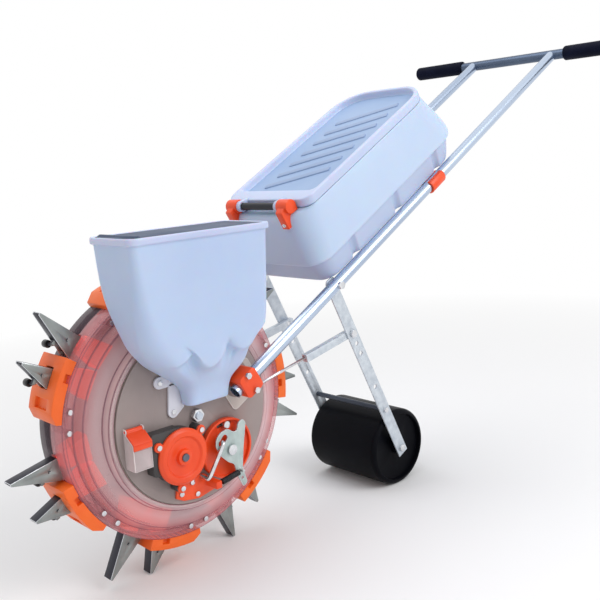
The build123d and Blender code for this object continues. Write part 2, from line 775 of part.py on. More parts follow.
def rate_dial():
    """Orange dial on the stud, with an arc slot around the lock screw."""
    ring = Pos(*FERT_SHAFT) * (Circle(DIAL_RADIUS) - Circle(DIAL_RADIUS - DIAL_LIP))
    dial = disc(FERT_SHAFT, DIAL_RADIUS, -DIAL_FACE_Y, -DIAL_BACK_Y)
    dial += slab(ring, -DIAL_LIP_Y, -DIAL_BACK_Y)
    dial += disc(FERT_SHAFT, DIAL_HUB_RADIUS, -DIAL_HUB_Y, -DIAL_BACK_Y)
    slot = SlotArc(
        CenterArc((0, 0), DIAL_SLOT_RADIUS, 90 - DIAL_TURN, 2 * DIAL_TURN), DIAL_SLOT_WIDTH
    )
    slot_cut = slab(Pos(*FERT_SHAFT) * slot, -DIAL_LIP_Y, -DIAL_BACK_Y)
    return without(dial, slot_cut, disc(FERT_SHAFT, STUD_RADIUS + RUNNING_GAP, -DIAL_HUB_Y, -DIAL_BACK_Y))


def gate_lever():
    """Zinc sheet lever on the stud: a horn at the top, a window for the link and an arm with the spring peg."""
    x, z = FERT_SHAFT
    outline = polygon([
        (x - 8, z - 20),
        (x - 22, z - 6),
        (x - 31, z + 12),
        (x - 29, z + 25),
        (x - 19, z + 34),
        (x - 4, z + 36),
        (x + 6, z + 28),
        (x + 14, z + 28),
        (x + 17, z + 40),
        (x + 26, z + 45),
        (x + 33, z + 38),
        (x + 29, z + 18),
        (x + 25, z - 2),
        (x + 22, z - 22),
        (x + 20, z - 38),
        (x + 28, z - 65),
        (x + 19, z - 71),
        (x + 8, z - 46),
        (x + 3, z - 26),
    ])
    window_middle = plus(LINK_TOP, (2.5 * 0.72, 2.5 * 0.69))
    outline -= Pos(*window_middle) * Rot(0, 0, 43.5) * SlotCenterToCenter(10, 11)
    outline -= Pos(x + 18, z - 54) * Circle(2.5)
    back = LEVER_SHEET - LEVER_Y
    lever = slab(outline, -LEVER_Y, back) - disc(FERT_SHAFT, STUD_RADIUS + RUNNING_GAP, -LEVER_Y, back)
    return lever + disc(SPRING_PEG, SPRING_PEG_RADIUS, -SPRING_Y - 5, -LEVER_Y)


def link_rod():
    """Bent wire from the lever's window to the bracket."""
    path = FilletPolyline(
        (LINK_TOP[0], 12 - LINK_Y, LINK_TOP[1] + AXLE_HEIGHT),
        (LINK_TOP[0], -LINK_Y, LINK_TOP[1] + AXLE_HEIGHT),
        (LINK_FOOT[0], -LINK_Y, LINK_FOOT[1] + AXLE_HEIGHT),
        (LINK_FOOT[0], -PLATE_Y - BRACKET_SHEET, LINK_FOOT[1] + AXLE_HEIGHT),
        radius=5,
    )
    return sweep(Plane(path ^ 0) * Circle(LINK_RADIUS), path)


def biarc(start, start_way, end, end_way):
    """Two arcs that leave start and reach end along the given unit directions."""
    chord = end - start
    both = start_way + end_way
    spread = 2 * (1 - start_way.dot(end_way))
    reach = -chord.dot(both) + math.sqrt(chord.dot(both) ** 2 + spread * chord.dot(chord))
    reach /= spread
    first = start + start_way * reach
    second = end - end_way * reach
    middle = (first + second) * 0.5
    middle_way = (second - first).normalized()
    return [TangentArc(start, middle, tangent=start_way), TangentArc(middle, end, tangent=middle_way)]


def lever_spring():
    """Tension spring from the bracket's lug to the lever's peg, with a straight lead at each end."""
    start = Vector(SPRING_START[0], -SPRING_Y, SPRING_START[1] + AXLE_HEIGHT)
    peg = Vector(SPRING_PEG[0], -SPRING_Y, SPRING_PEG[1] + AXLE_HEIGHT)
    way = (peg - start).normalized()
    start += way * SPRING_GAP
    end = peg - way * (SPRING_PEG_RADIUS + SPRING_GAP)
    side = Vector(0, -1, 0)
    rise = way.cross(side)
    coil_length = (end - start).length - 2 * SPRING_LEAD
    turn_rate = 2 * math.pi * SPRING_TURNS / coil_length

    def coil(turns):
        angle = 2 * math.pi * turns
        axial = start + way * (SPRING_LEAD + coil_length * turns / SPRING_TURNS)
        place = axial + (side * math.cos(angle) + rise * math.sin(angle)) * SPRING_COIL
        pace = way + (rise * math.cos(angle) - side * math.sin(angle)) * (SPRING_COIL * turn_rate)
        return place, pace.normalized()

    stops = [coil(0.5 * i) for i in range(2 * SPRING_TURNS + 1)]
    straight = 2 * SPRING_WIRE_RADIUS
    lead_in = (start + way * straight, way)
    lead_out = (end - way * straight, way)
    edges = [Line(start, lead_in[0])]
    for here, there in zip([lead_in, *stops], [*stops, lead_out]):
        edges += biarc(*here, *there)
    edges.append(Line(lead_out[0], end))
    path = Wire(edges)
    print(f"spring: least gap to itself {least_gap(path):.2f}")
    return sweep(Plane(origin=start, z_dir=way) * Circle(SPRING_WIRE_RADIUS), path)


def least_gap(path):
    """Least clear distance between two turns of the spring, measured on points along its wire."""
    steps = 40 * SPRING_TURNS
    points = [path @ (i / steps) for i in range(steps + 1)]
    half_turn = 20
    gaps = [(a - b).length for i, a in enumerate(points) for b in points[i + half_turn:]]
    return min(gaps) - 2 * SPRING_WIRE_RADIUS


def corner_bracket():
    """Orange bracket under the meter, with a lug for the spring."""
    outline = polygon([
        (-52, -124),
        (-50, -111),
        (-34, -108),
        (-22, -98),
        (4, -99),
        (14, -108),
        (26, -119),
        (26, -131),
        (-8, -137),
        (-38, -132),
    ])
    base = -PLATE_Y - BRACKET_SHEET
    bracket = slab(outline, base, -PLATE_Y)
    x, z = SPRING_START
    bracket += plate_box((x - 11, -SPRING_Y - 6, z - 6), (x, base, z + 6))
    return without(bracket, *screw_shanks())


# Side plate and what is fixed to it

def screw_list():
    """Every screw into the plate as (place, y of the face under its head)."""
    screws = [(place, HOUSING_Y + EAR_SHEET) for place in ear_places()]
    screws += [(place, PLATE_Y + 4.5) for place in HOPPER_EARS]
    bracket_face = PLATE_Y + BRACKET_SHEET
    screws += [((-42, -119), bracket_face), ((-12, -128), bracket_face), ((-20, -106), bracket_face)]
    return screws


def screw_shanks():
    return [disc(place, SCREW_RADIUS, -seat, -PLATE_BACK_Y) for place, seat in screw_list()]


def lock_place():
    return plus(FERT_SHAFT, (0, DIAL_SLOT_RADIUS))


def plate_screws():
    """Pan screws, the lock screw of the dial and the shoulder stud that carries dial, lever and rotor."""
    screws = []
    for (place, seat), shank in zip(screw_list(), screw_shanks()):
        screws.append(shank + disc(place, SCREW_HEAD_RADIUS, -seat - SCREW_HEAD, -seat))
    lock = disc(lock_place(), LOCK_RADIUS, -DIAL_LIP_Y, -PLATE_BACK_Y)
    screws.append(lock + disc(lock_place(), 2 * LOCK_RADIUS, -DIAL_LIP_Y - 3, -DIAL_FACE_Y - 3))
    stud = disc(FERT_SHAFT, STUD_RADIUS, -LEVER_Y - 1, FLUTE_LENGTH - GEAR_BACK_Y + 2)
    screws.append(stud + disc(FERT_SHAFT, 1.7 * STUD_RADIUS, -LEVER_Y - 4, -LEVER_Y - 1))
    return screws


def pad_sketch(length, height, corner):
    """Rounded rectangle in line with the tubes, where the clamps sit."""
    place = on_deck(CLAMP_MIDDLE, 0)
    return Pos(*place) * Rot(0, 0, TUBE_SLOPE) * RectangleRounded(length, height, corner)


def near_plate():
    """Fixed side plate with a pad for the tube clamp and one for the stay."""
    plate = disc((0, 0), PLATE_RADIUS, -PLATE_Y, -PLATE_BACK_Y)
    plate += slab(pad_sketch(48, 44, 8), -SEAT_PAD_Y, -PLATE_Y)
    plate += disc(EYE, EYE_RADIUS + 2, -ARM_Y, -PLATE_Y)
    outlet = plate_box((OUTLET[0][0], -PLATE_Y, OUTLET[0][1]), (OUTLET[1][0], -PLATE_BACK_Y, OUTLET[1][1]))
    drop = slab(Pos(SEED_SHAFT[0], SEED_SHAFT[1] - 24) * Rectangle(20, 11), -PLATE_Y, -PLATE_BACK_Y)
    holes = [
        disc((0, 0), AXLE_END_RADIUS, -PLATE_Y, -PLATE_BACK_Y),
        disc(SEED_SHAFT, SHAFT_RADIUS + RUNNING_GAP, -PLATE_Y, -PLATE_BACK_Y),
        disc(FERT_SHAFT, STUD_RADIUS, -PLATE_Y, -PLATE_BACK_Y),
        disc(lock_place(), LOCK_RADIUS, -PLATE_Y, -PLATE_BACK_Y),
    ]
    return without(plate, outlet, drop, *holes, *screw_shanks(), *bolt_shanks())


def far_arm():
    """Steel arm from the far end of the axle to the far tube clamp and stay."""
    outline = make_hull([
        *Circle(ARM_HUB_RADIUS).edges(),
        *pad_sketch(48, 44, 8).edges(),
        *(Pos(*EYE) * Circle(EYE_RADIUS + 2)).edges(),
    ])
    arm = slab(outline, ARM_Y - ARM_THICKNESS, ARM_Y)
    arm += slab(pad_sketch(48, 44, 8), ARM_Y, SEAT_PAD_Y)
    shanks = [mirrored(shank) for shank in bolt_shanks()]
    return without(arm, disc((0, 0), AXLE_END_RADIUS, 0, SEAT_PAD_Y), *shanks)


def on_flap(along, below):
    """(y, height over the axle) of a point on the flap's slope, measured from its hinge."""
    slope = math.radians(FLAP_SLOPE)
    y = FLAP_HINGE[0] - along * math.cos(slope) + below * math.sin(slope)
    return y, FLAP_HINGE[1] - along * math.sin(slope) - below * math.cos(slope)


def cross_slab(sketch, x_from, x_to):
    """Prism of a (y, height over the axle) sketch between two x."""
    plane = Plane((x_from, 0, AXLE_HEIGHT), x_dir=(0, 1, 0), z_dir=(1, 0, 0))
    return extrude(plane * sketch, amount=x_to - x_from)


def feed_pocket():
    """Clear pocket open at the top, whose sloping cheeks carry the hinge of its flap."""
    wall = POCKET_WALL
    outer = plate_box((POCKET_LEFT, -POCKET_Y, POCKET_BOTTOM), (POCKET_RIGHT, -PLATE_Y, POCKET_TOP))
    inner = plate_box(
        (POCKET_LEFT + wall, wall - POCKET_Y, POCKET_BOTTOM + wall), (POCKET_RIGHT - wall, -PLATE_Y, POCKET_TOP)
    )
    pocket = outer - inner
    rest = FLAP_SHEET / 2 + REST_GAP
    reach = (POCKET_Y + FLAP_HINGE[0]) / math.cos(math.radians(FLAP_SLOPE))
    ear_top = FLAP_HINGE[1] + FLAP_EAR
    cheek = polygon([
        (-POCKET_Y, POCKET_TOP),
        (-PLATE_Y, POCKET_TOP),
        (-PLATE_Y, ear_top),
        (FLAP_HINGE[0], ear_top),
        on_flap(0, rest),
        on_flap(reach, rest),
    ])
    cheek += Pos(*FLAP_HINGE) * Circle(FLAP_EAR)
    for side in (POCKET_LEFT, POCKET_RIGHT - wall):
        pocket += cross_slab(cheek, side, side + wall)
    return pocket - flap_bar(FLAP_PIN_RADIUS + RUNNING_GAP, POCKET_LEFT, POCKET_RIGHT)


def flap_bar(radius, x_from, x_to):
    place = ((x_from + x_to) / 2, FLAP_HINGE[0], AXLE_HEIGHT + FLAP_HINGE[1])
    return Pos(*place) * Rot(0, 90, 0) * Cylinder(radius, x_to - x_from)


def flap_strip(start):
    half = FLAP_SHEET / 2
    return polygon([
        on_flap(start, -half), on_flap(FLAP_REACH, -half), on_flap(FLAP_REACH, half), on_flap(start, half)
    ])


def pocket_flap():
    """Orange flap that slopes down over the pocket to a lip, with its hinge barrel and pins."""
    inner_left = POCKET_LEFT + POCKET_WALL + REST_GAP
    inner_right = POCKET_RIGHT - POCKET_WALL - REST_GAP
    face = -POCKET_Y - REST_GAP
    foot = POCKET_TOP - FLAP_LIP_DROP
    head = on_flap(FLAP_REACH, 0)[1]
    lip = polygon([(face, foot), (face, head), (face - FLAP_LIP, head), (face - FLAP_LIP, foot)])
    flap = cross_slab(flap_strip(FLAP_EAR + 1) + lip, POCKET_LEFT, POCKET_RIGHT)
    flap += cross_slab(flap_strip(0), inner_left, inner_right)
    flap += flap_bar(FLAP_BARREL, inner_left, inner_right)
    return flap + flap_bar(FLAP_PIN_RADIUS, POCKET_LEFT, POCKET_RIGHT)


# Hopper

def hopper_loft(inset, lowest):
    """Loft through the plan sections, drawn in by inset on every side."""
    faces = []
    for height, front, rear, near, far in HOPPER_SECTIONS:
        size = (rear - front - 2 * inset, far - near - 2 * inset)
        place = ((front + rear) / 2, (near + far) / 2, AXLE_HEIGHT + max(height, lowest))
        faces.append(Pos(*place) * RectangleRounded(*size, HOPPER_CORNER - inset))
    return loft(faces, ruled=True)


def hopper_rim():
    """Flange that stiffens the top edge."""
    top, front, rear, near, far = HOPPER_SECTIONS[0]
    size = (rear - front + 2 * HOPPER_RIM, far - near + 2 * HOPPER_RIM)
    place = ((front + rear) / 2, (near + far) / 2, AXLE_HEIGHT + top - HOPPER_RIM_HEIGHT)
    return extrude(Pos(*place) * RectangleRounded(*size, HOPPER_CORNER + HOPPER_RIM), HOPPER_RIM_HEIGHT)


def hopper():
    """Translucent hopper with a thin wall, open at the top, with an outlet in its back and two ears."""
    body = hopper_loft(0, 0) + hopper_rim()
    body -= hopper_loft(HOPPER_WALL, HOPPER_SECTIONS[-1][0] + 2 * HOPPER_WALL)
    rest = HOPPER_LID_TOP - HOPPER_LID_SHEET - REST_GAP
    _, _, rear, near, far = HOPPER_SECTIONS[0]
    ledge = plate_box((rear - 12, near + 12, rest - 3), (rear - 2, far - 12, rest))
    back = HOPPER_SECTIONS[-1][4]
    for place in HOPPER_EARS:
        body += disc(place, HOPPER_EAR_RADIUS, back, -PLATE_Y)
    (left, low), (right, high) = OUTLET
    body += plate_box((left - 10, back, low - 6), (right + 14, -PLATE_Y, high + 6))
    body += plate_box((HOPPER_EARS[0][0], back, 60), (left, -PLATE_Y, 72))
    body += plate_box((HOPPER_EARS[1][0] - 6, back, 16), (HOPPER_EARS[1][0] + 9, -PLATE_Y, low))
    outlet = plate_box((left, back - 3 * HOPPER_WALL, low), (right, -PLATE_Y, high))
    pin = hopper_bar(HOPPER_PIN_RADIUS + RUNNING_GAP, near - RUNNING_GAP, far + RUNNING_GAP)
    return without(body + ledge, outlet, pin, *screw_shanks())


def hopper_bar(radius, y_from, y_to):
    place = (HOPPER_HINGE[0], (y_from + y_to) / 2, AXLE_HEIGHT + HOPPER_HINGE[1])
    return Pos(*place) * Rot(90, 0, 0) * Cylinder(radius, y_to - y_from)


def hopper_lid():
    """Grey lid lying inside the rim, with its hinge barrel and pins near the front."""
    _, front, rear, near, far = HOPPER_SECTIONS[0]
    inset = HOPPER_WALL + HOPPER_LID_GAP
    size = (rear - front - 2 * inset, far - near - 2 * inset)
    place = ((front + rear) / 2, (near + far) / 2, AXLE_HEIGHT + HOPPER_LID_TOP - HOPPER_LID_SHEET)
    lid = extrude(Pos(*place) * RectangleRounded(*size, HOPPER_CORNER - inset), HOPPER_LID_SHEET)
    lid += hopper_bar(HOPPER_BARREL, near + inset, far - inset)
    return lid + hopper_bar(HOPPER_PIN_RADIUS, near, far)


# Frame

def handlebar_bar(radius):
    return bar_across(DECK, (TUBE_LENGTH, 0), -HANDLEBAR_HALF, HANDLEBAR_HALF, radius)


def near_handle_tube():
    """Sloping tube, coped at its top to sit against the handlebar."""
    start = (0, -TUBE_Y, 0)
    length = TUBE_LENGTH - COPE_FLAT
    tube = bar_along(DECK, start, length, TUBE_RADIUS)
    bore = bar_along(DECK, start, length, TUBE_RADIUS - TUBE_WALL)
    return without(tube, bore, handlebar_bar(TUBE_RADIUS), *bolt_shanks())


def handlebar():
    return handlebar_bar(TUBE_RADIUS) - handlebar_bar(TUBE_RADIUS - TUBE_WALL)


def grips():
    """Black sleeves over both ends of the handlebar, closed at the tip."""
    outer = HANDLEBAR_HALF + GRIP_CAP
    place = (TUBE_LENGTH, 0)
    grip = bar_across(DECK, place, -outer, GRIP_LENGTH - outer, GRIP_RADIUS)
    grip = fillet(grip.edges().group_by(Axis.Y)[0], 5)
    return both_sides([grip - handlebar_bar(TUBE_RADIUS)])


def tube_clamps():
    """Orange block around the foot of each tube."""
    clamp = slab(pad_sketch(CLAMP_LENGTH, CLAMP_HEIGHT, 7), -CLAMP_Y, -SEAT_PAD_Y)
    tube = bar_along(DECK, (-20, -TUBE_Y, 0), 100, TUBE_RADIUS)
    return both_sides([without(clamp, tube, *bolt_shanks())])


def bolt_list():
    """Near side bolts as (place, y of the face under the head, y of the shank's end, shank radius)."""
    bolts = [
        (on_deck(CLAMP_MIDDLE, off), CLAMP_Y, SEAT_PAD_Y - 4, CLAMP_BOLT_RADIUS)
        for off in (-CLAMP_BOLT_OFFSET, CLAMP_BOLT_OFFSET)
    ]
    bolts.append((STRUT_TOP, TUBE_Y + TUBE_RADIUS, STRUT_INNER - BOLT_HEAD, STRUT_BOLT_RADIUS))
    bolts.append((STAY_START, TUBE_INNER, STAY_INNER, STRUT_BOLT_RADIUS))
    bolts.append((EYE, EYE_Y, ARM_Y - ARM_THICKNESS, STRUT_BOLT_RADIUS))
    bolts.append((on_strut(TIE_DROP), TUBE_INNER, STRUT_INNER - 14, TIE_BOLT_RADIUS))
    bolts.append((STRUT_FOOT, TUBE_INNER, STRUT_INNER - 14, STRUT_BOLT_RADIUS))
    return bolts


def bolt_shanks():
    return [disc(place, radius, -head, -end) for place, head, end, radius in bolt_list()]


def frame_bolts():
    """Bolts of the clamps, struts, stays and roller on both sides, with the nuts of axle and struts."""
    bolts = []
    for (place, head, _, radius), shank in zip(bolt_list(), bolt_shanks()):
        bolts.append(shank + hexagon(place, 3.3 * radius, -head - BOLT_HEAD, -head))
    nut = hexagon(STRUT_TOP, 3.3 * STRUT_BOLT_RADIUS, -STRUT_INNER, BOLT_HEAD - STRUT_INNER)
    bolts.append(without(nut, *bolt_shanks()))
    near_nut = hexagon((0, 0), NUT_ACROSS, -PLATE_Y - NUT_THICKNESS, -PLATE_Y)
    far_nut = hexagon((0, 0), NUT_ACROSS, ARM_Y, ARM_Y + NUT_THICKNESS)
    thread = disc((0, 0), AXLE_END_RADIUS, -PLATE_Y - 20, ARM_Y + 20)
    return [*both_sides(bolts), near_nut - thread, far_nut - thread]


def near_strut():
    """Flat bar from the tube to the roller with a rounded top and a row of spare holes."""
    length = STRUT_LENGTH + STRUT_END
    bar = Rectangle(length, STRUT_WIDTH, align=(Align.MIN, Align.CENTER)) + Circle(STRUT_WIDTH / 2)
    for drop in SPARE_HOLES:
        bar -= Pos(drop, 0) * Circle(SPARE_HOLE_RADIUS)
    sketch = Pos(*STRUT_TOP) * Rot(0, 0, STRUT_ANGLE) * bar
    tank_side = DECK * box_between((0, -TUBE_Y, TUBE_RADIUS - REST_GAP), (TUBE_LENGTH, 0, 5 * TUBE_RADIUS))
    return without(slab(sketch, -TUBE_INNER, -STRUT_INNER), tank_side, *bolt_shanks())


def stay_plane():
    """Plane at the strut end of the near stay, with its x along the stay."""
    turn = math.radians(STAY_ANGLE)
    place = (STAY_START[0], -(EYE_Y + ARM_Y) / 2, AXLE_HEIGHT + STAY_START[1])
    return Plane(origin=place, x_dir=(math.cos(turn), 0, math.sin(turn)), z_dir=(0, -1, 0))


def stay_rod():
    """Rod with an eye at the side plate; its other end sits in the stay tube."""
    reach = math.dist(STAY_START, EYE)
    start = STAY_TUBE_LENGTH - STAY_SOCKET
    rod = bar_along(stay_plane(), (start, 0, 0), reach - start, STAY_ROD_RADIUS)
    return without(rod + disc(EYE, EYE_RADIUS, -EYE_Y, -ARM_Y), *bolt_shanks())


def stay_tubes():
    """Square stay bars bolted to the struts, with a socket for the rods."""
    bar = Rectangle(STAY_TUBE_LENGTH + STAY_HEIGHT, STAY_HEIGHT, align=(Align.MIN, Align.CENTER))
    sketch = Pos(*STAY_START) * Rot(0, 0, STAY_ANGLE) * Pos(-STAY_HEIGHT, 0) * bar
    tube = without(slab(sketch, -STRUT_INNER, -STAY_INNER), *bolt_shanks())
    return both_sides([tube - stay_rod()])


def tie_rod():
    """Round bar across the machine between the struts."""
    bar = disc(on_strut(TIE_DROP), TIE_RADIUS, -STRUT_INNER, STRUT_INNER)
    return without(bar, *both_sides(bolt_shanks()))


def roller_axle():
    bar = disc(STRUT_FOOT, ROLLER_AXLE_RADIUS, -STRUT_INNER, STRUT_INNER)
    return without(bar, *both_sides(bolt_shanks()))


def roller():
    """Hollow press roller with rounded edges and recessed ends."""
    half = STRUT_INNER - ROLLER_END_GAP
    body = disc(STRUT_FOOT, ROLLER_RADIUS, -half, half)
    body = fillet(body.edges().filter_by(GeomType.CIRCLE), ROLLER_EDGE)
    ring = Circle(ROLLER_RADIUS - 2 * ROLLER_WALL) - Circle(ROLLER_BOSS)
    hollow = Circle(ROLLER_RADIUS - ROLLER_WALL) - Circle(ROLLER_BOSS)
    inner_half = half - ROLLER_RECESS - ROLLER_WALL
    place = Pos(*STRUT_FOOT)
    return without(
        body,
        slab(place * ring, -half, ROLLER_RECESS - half),
        slab(place * ring, half - ROLLER_RECESS, half),
        slab(place * hollow, -inner_half, inner_half),
        disc(STRUT_FOOT, ROLLER_AXLE_RADIUS + RUNNING_GAP, -half, half),
    )


# Tank, built on the deck

def tank_outline(front, rear, half, front_corner, rear_corner):
    """Plan outline with its own corner radius at the front and at the rear."""

    def corner(x, y, radius, start):
        middle = (x, y)
        ends = [plus(middle, polar(radius, start + step)) for step in (0, 45, 90)]
        return ThreePointArc(*ends)

    rear_x, rear_y = rear - rear_corner, half - rear_corner
    front_x, front_y = front + front_corner, half - front_corner
    arcs = [
        corner(rear_x, rear_y, rear_corner, 0),
        corner(front_x, front_y, front_corner, 90),
        corner(front_x, -front_y, front_corner, 180),
        corner(rear_x, -rear_y, rear_corner, 270),
    ]
    edges = []
    for arc, following in zip(arcs, arcs[1:] + arcs[:1]):
        edges += [arc, Line(arc @ 1, following @ 0)]
    return make_face(edges)


def tank_loft(wall, band_wall, floor):
    """Loft of the tank drawn in by wall, and by band_wall at the sides of the lower band."""
    faces = []
    for level, (off, front, rear, half, front_corner, rear_corner) in enumerate(TANK_SECTIONS):
        side = band_wall if level < TANK_BAND_LEVELS else wall
        outline = tank_outline(front + wall, rear - wall, half - side, front_corner - wall, rear_corner - wall)
        faces.append(Pos(0, 0, max(off, floor)) * outline)
    return loft(faces, ruled=True)


def lid_start():
    return TANK_SECTIONS[-1][1] + DECK_LENGTH


def tank():
    """White tank: a scalloped lower band, an overhanging upper body and a closed strip of deck at the front."""
    top, front, _, half, corner, _ = TANK_SECTIONS[-1]
    body = tank_loft(0, 0, 0)
    inside = tank_loft(TANK_WALL, TANK_BAND_WALL, TANK_SECTIONS[0][0] + TANK_WALL)
    deck = box_between((front, -half, top - TANK_WALL), (lid_start() + corner, half, top))
    for i in range(GROOVE_COUNT):
        for side in (-1, 1):
            groove = Cylinder(GROOVE_RADIUS, 3 * TANK_SECTIONS[1][0])
            place = (GROOVE_FIRST + GROOVE_PITCH * i, side * (TANK_SECTIONS[0][3] + 4), 0)
            band = box_between((0, -HANDLEBAR_HALF, 0), (TUBE_LENGTH, HANDLEBAR_HALF, TANK_SECTIONS[1][0]))
            body -= Pos(*place) * groove & band
    return DECK * (body - (inside - deck))


def tank_lid():
    """Lid with a raised rim around a recessed, ribbed panel and two hinge lugs at the front."""
    _, _, rear, half, front_corner, rear_corner = TANK_SECTIONS[-1]
    start = lid_start()
    base = TANK_TOP + REST_GAP
    outline = tank_outline(start, rear, half, front_corner, rear_corner)
    inner = tank_outline(
        start + LID_RIM, rear - LID_RIM, half - LID_RIM, front_corner - LID_RIM, rear_corner - LID_RIM
    )
    lid = extrude(Pos(0, 0, base) * outline, LID_SHEET, dir=(0, 0, 1))
    lid += extrude(Pos(0, 0, base) * (outline - inner), LID_RIM_HEIGHT, dir=(0, 0, 1))
    for i in range(LID_RIB_COUNT):
        place = (start + 60 + 42 * i, 0, base + LID_SHEET)
        rib = Box(LID_RIB_WIDTH, 1.3 * half, LID_RIB_HEIGHT, align=(Align.CENTER, Align.CENTER, Align.MIN))
        lid += Pos(*place) * Rot(0, 0, 25) * rib
    axis = (HINGE_ALONG, HINGE_OFF)
    for side in (-1, 1):
        y = side * (HINGE_Y - KNUCKLE_WIDTH / 2 - REST_GAP - LUG_WIDTH / 2)
        near, far = y - LUG_WIDTH / 2, y + LUG_WIDTH / 2
        lug = bar_across(Plane.XY, axis, near, far, LUG_RADIUS)
        lug += box_between((HINGE_ALONG, near, HINGE_OFF - 8), (start + LID_RIM, far, base + LID_RIM_HEIGHT))
        lid += lug
    bore = bar_across(Plane.XY, axis, -HINGE_Y, HINGE_Y, HINGE_ROD_RADIUS + RUNNING_GAP)
    return DECK * (lid - bore)


def hinge_rod():
    end = HINGE_Y + KNUCKLE_WIDTH / 2
    return bar_across(DECK, (HINGE_ALONG, HINGE_OFF), -end, end, HINGE_ROD_RADIUS)


def hinge_brackets():
    """Orange knuckles that hold the rod, each with a tab screwed down on the tank's deck."""
    axis = (HINGE_ALONG, HINGE_OFF)
    low, high = HINGE_Y - KNUCKLE_WIDTH / 2, HINGE_Y + KNUCKLE_WIDTH / 2
    knuckle = bar_across(Plane.XY, axis, low, high, KNUCKLE_RADIUS)
    knuckle += box_between(
        (HINGE_ALONG - TAB_LENGTH, low, TANK_TOP), (HINGE_ALONG, high, TANK_TOP + TAB_SHEET)
    )
    knuckle -= bar_across(Plane.XY, axis, low, high, HINGE_ROD_RADIUS)
    return both_sides([mirrored(DECK * knuckle)])


def tube_clips():
    """Orange saddles under the tubes with a tab against the tank's floor."""
    start = (CLIP_START, -TUBE_Y, 0)
    end = CLIP_START + CLIP_LENGTH
    outer = TUBE_RADIUS + CLIP_WALL
    top = TANK_SECTIONS[0][0] - REST_GAP
    ring = bar_along(Plane.XY, start, CLIP_LENGTH, outer)
    tab = box_between((CLIP_START, -TUBE_Y, top - CLIP_WALL), (end, CLIP_TAB - TUBE_Y, top))
    over = box_between((CLIP_START, -TUBE_Y - outer, top), (end, outer - TUBE_Y, outer + CLIP_WALL))
    return both_sides([DECK * without(ring + tab, over, bar_along(Plane.XY, start, CLIP_LENGTH, TUBE_RADIUS))])


def nodes():
    """Every piece of the planter by name."""
    made = {
        "near_shell": near_shell(),
        "far_shell": far_shell(),
        "drum_hub": drum_hub(),
        "hub_bearings": hub_bearings(),
        "ring_gear": ring_gear(),
        "chutes": chutes(),
        "drum_screws": drum_screws(),
        "axle": axle(),
        "near_plate": near_plate(),
        "far_arm": far_arm(),
        "seed_rotor": seed_rotor(),
        "fert_rotor": fert_rotor(),
        "meter_housing": meter_housing(),
        "meter_cover": meter_cover(),
        "rate_dial": rate_dial(),
        "gate_lever": gate_lever(),
        "link_rod": link_rod(),
        "lever_spring": lever_spring(),
        "corner_bracket": corner_bracket(),
        "plate_screws": plate_screws(),
        "feed_pocket": feed_pocket(),
        "pocket_flap": pocket_flap(),
        "hopper": hopper(),
        "hopper_lid": hopper_lid(),
        "near_handle_tube": near_handle_tube(),
        "handlebar": handlebar(),
        "grips": grips(),
        "tube_clamps": tube_clamps(),
        "frame_bolts": frame_bolts(),
        "near_strut": near_strut(),
        "stay_tubes": stay_tubes(),
        "stay_rods": both_sides([stay_rod()]),
        "tie_rod": tie_rod(),
        "roller_axle": roller_axle(),
        "roller": roller(),
        "tank": tank(),
        "tank_lid": tank_lid(),
        "hinge_rod": hinge_rod(),
        "hinge_brackets": hinge_brackets(),
        "tube_clips": tube_clips(),
    }
    made["far_handle_tube"] = mirrored(made["near_handle_tube"])
    made["far_strut"] = mirrored(made["near_strut"])

    seat = fert_seat()
    made["fert_seats"] = [turned(seat, angle) for angle in FERT_ANGLES]
    seed_body, fert_body = beak_body(SEED_WEDGE, SEED_PIN), beak_body(FERT_WEDGE, FERT_PIN)
    made["seed_beaks"] = [turned(seed_body, angle) for angle in SEED_ANGLES]
    made["fert_beaks"] = [turned(fert_body, angle) for angle in FERT_ANGLES]
    seed_pin, fert_pin = beak_pin(SEED_PIN), beak_pin(FERT_PIN)
    pins = [turned(seed_pin, angle) for angle in SEED_ANGLES]
    made["jaw_pins"] = pins + [turned(fert_pin, angle) for angle in FERT_ANGLES]
    seed_jaw = beak_jaw(SEED_WEDGE, SEED_PIN, SEED_KNOB)
    fert_jaw = beak_jaw(FERT_WEDGE, FERT_PIN, FERT_KNOB)
    for i in range(PAIR_COUNT):
        made[f"seed_jaw_{i + 1}"] = [turned(piece, SEED_ANGLES[i]) for piece in seed_jaw]
        made[f"fert_jaw_{i + 1}"] = [turned(piece, FERT_ANGLES[i]) for piece in fert_jaw]
    return made


def as_compound(piece):
    pieces = piece if isinstance(piece, list) else [piece]
    return Compound(children=[solid for part in pieces for solid in part.solids()])


os.makedirs("parts", exist_ok=True)
assembly = {name: as_compound(piece) for name, piece in nodes().items()}
boxes = [piece.bounding_box() for piece in assembly.values()]
front = min(box.min.X for box in boxes)
rear = max(box.max.X for box in boxes)
shift = -(front + rear) / 2
for name, piece in assembly.items():
    export_step(Pos(shift, 0, 0) * piece, f"parts/{name}.step")
low, high = min(box.min.Z for box in boxes), max(box.max.Z for box in boxes)
print(f"{len(assembly)} pieces, moved {shift:.3f} along X, axle height {AXLE_HEIGHT:.3f}")
print(f"length {rear - front:.1f}, height {low:.3f} to {high:.1f}")
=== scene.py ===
"""Looks of a walk-behind seed planter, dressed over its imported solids. Metres; X to the rear, Z up."""

import json
import math

import bmesh
import bpy
from mathutils import Matrix, Vector

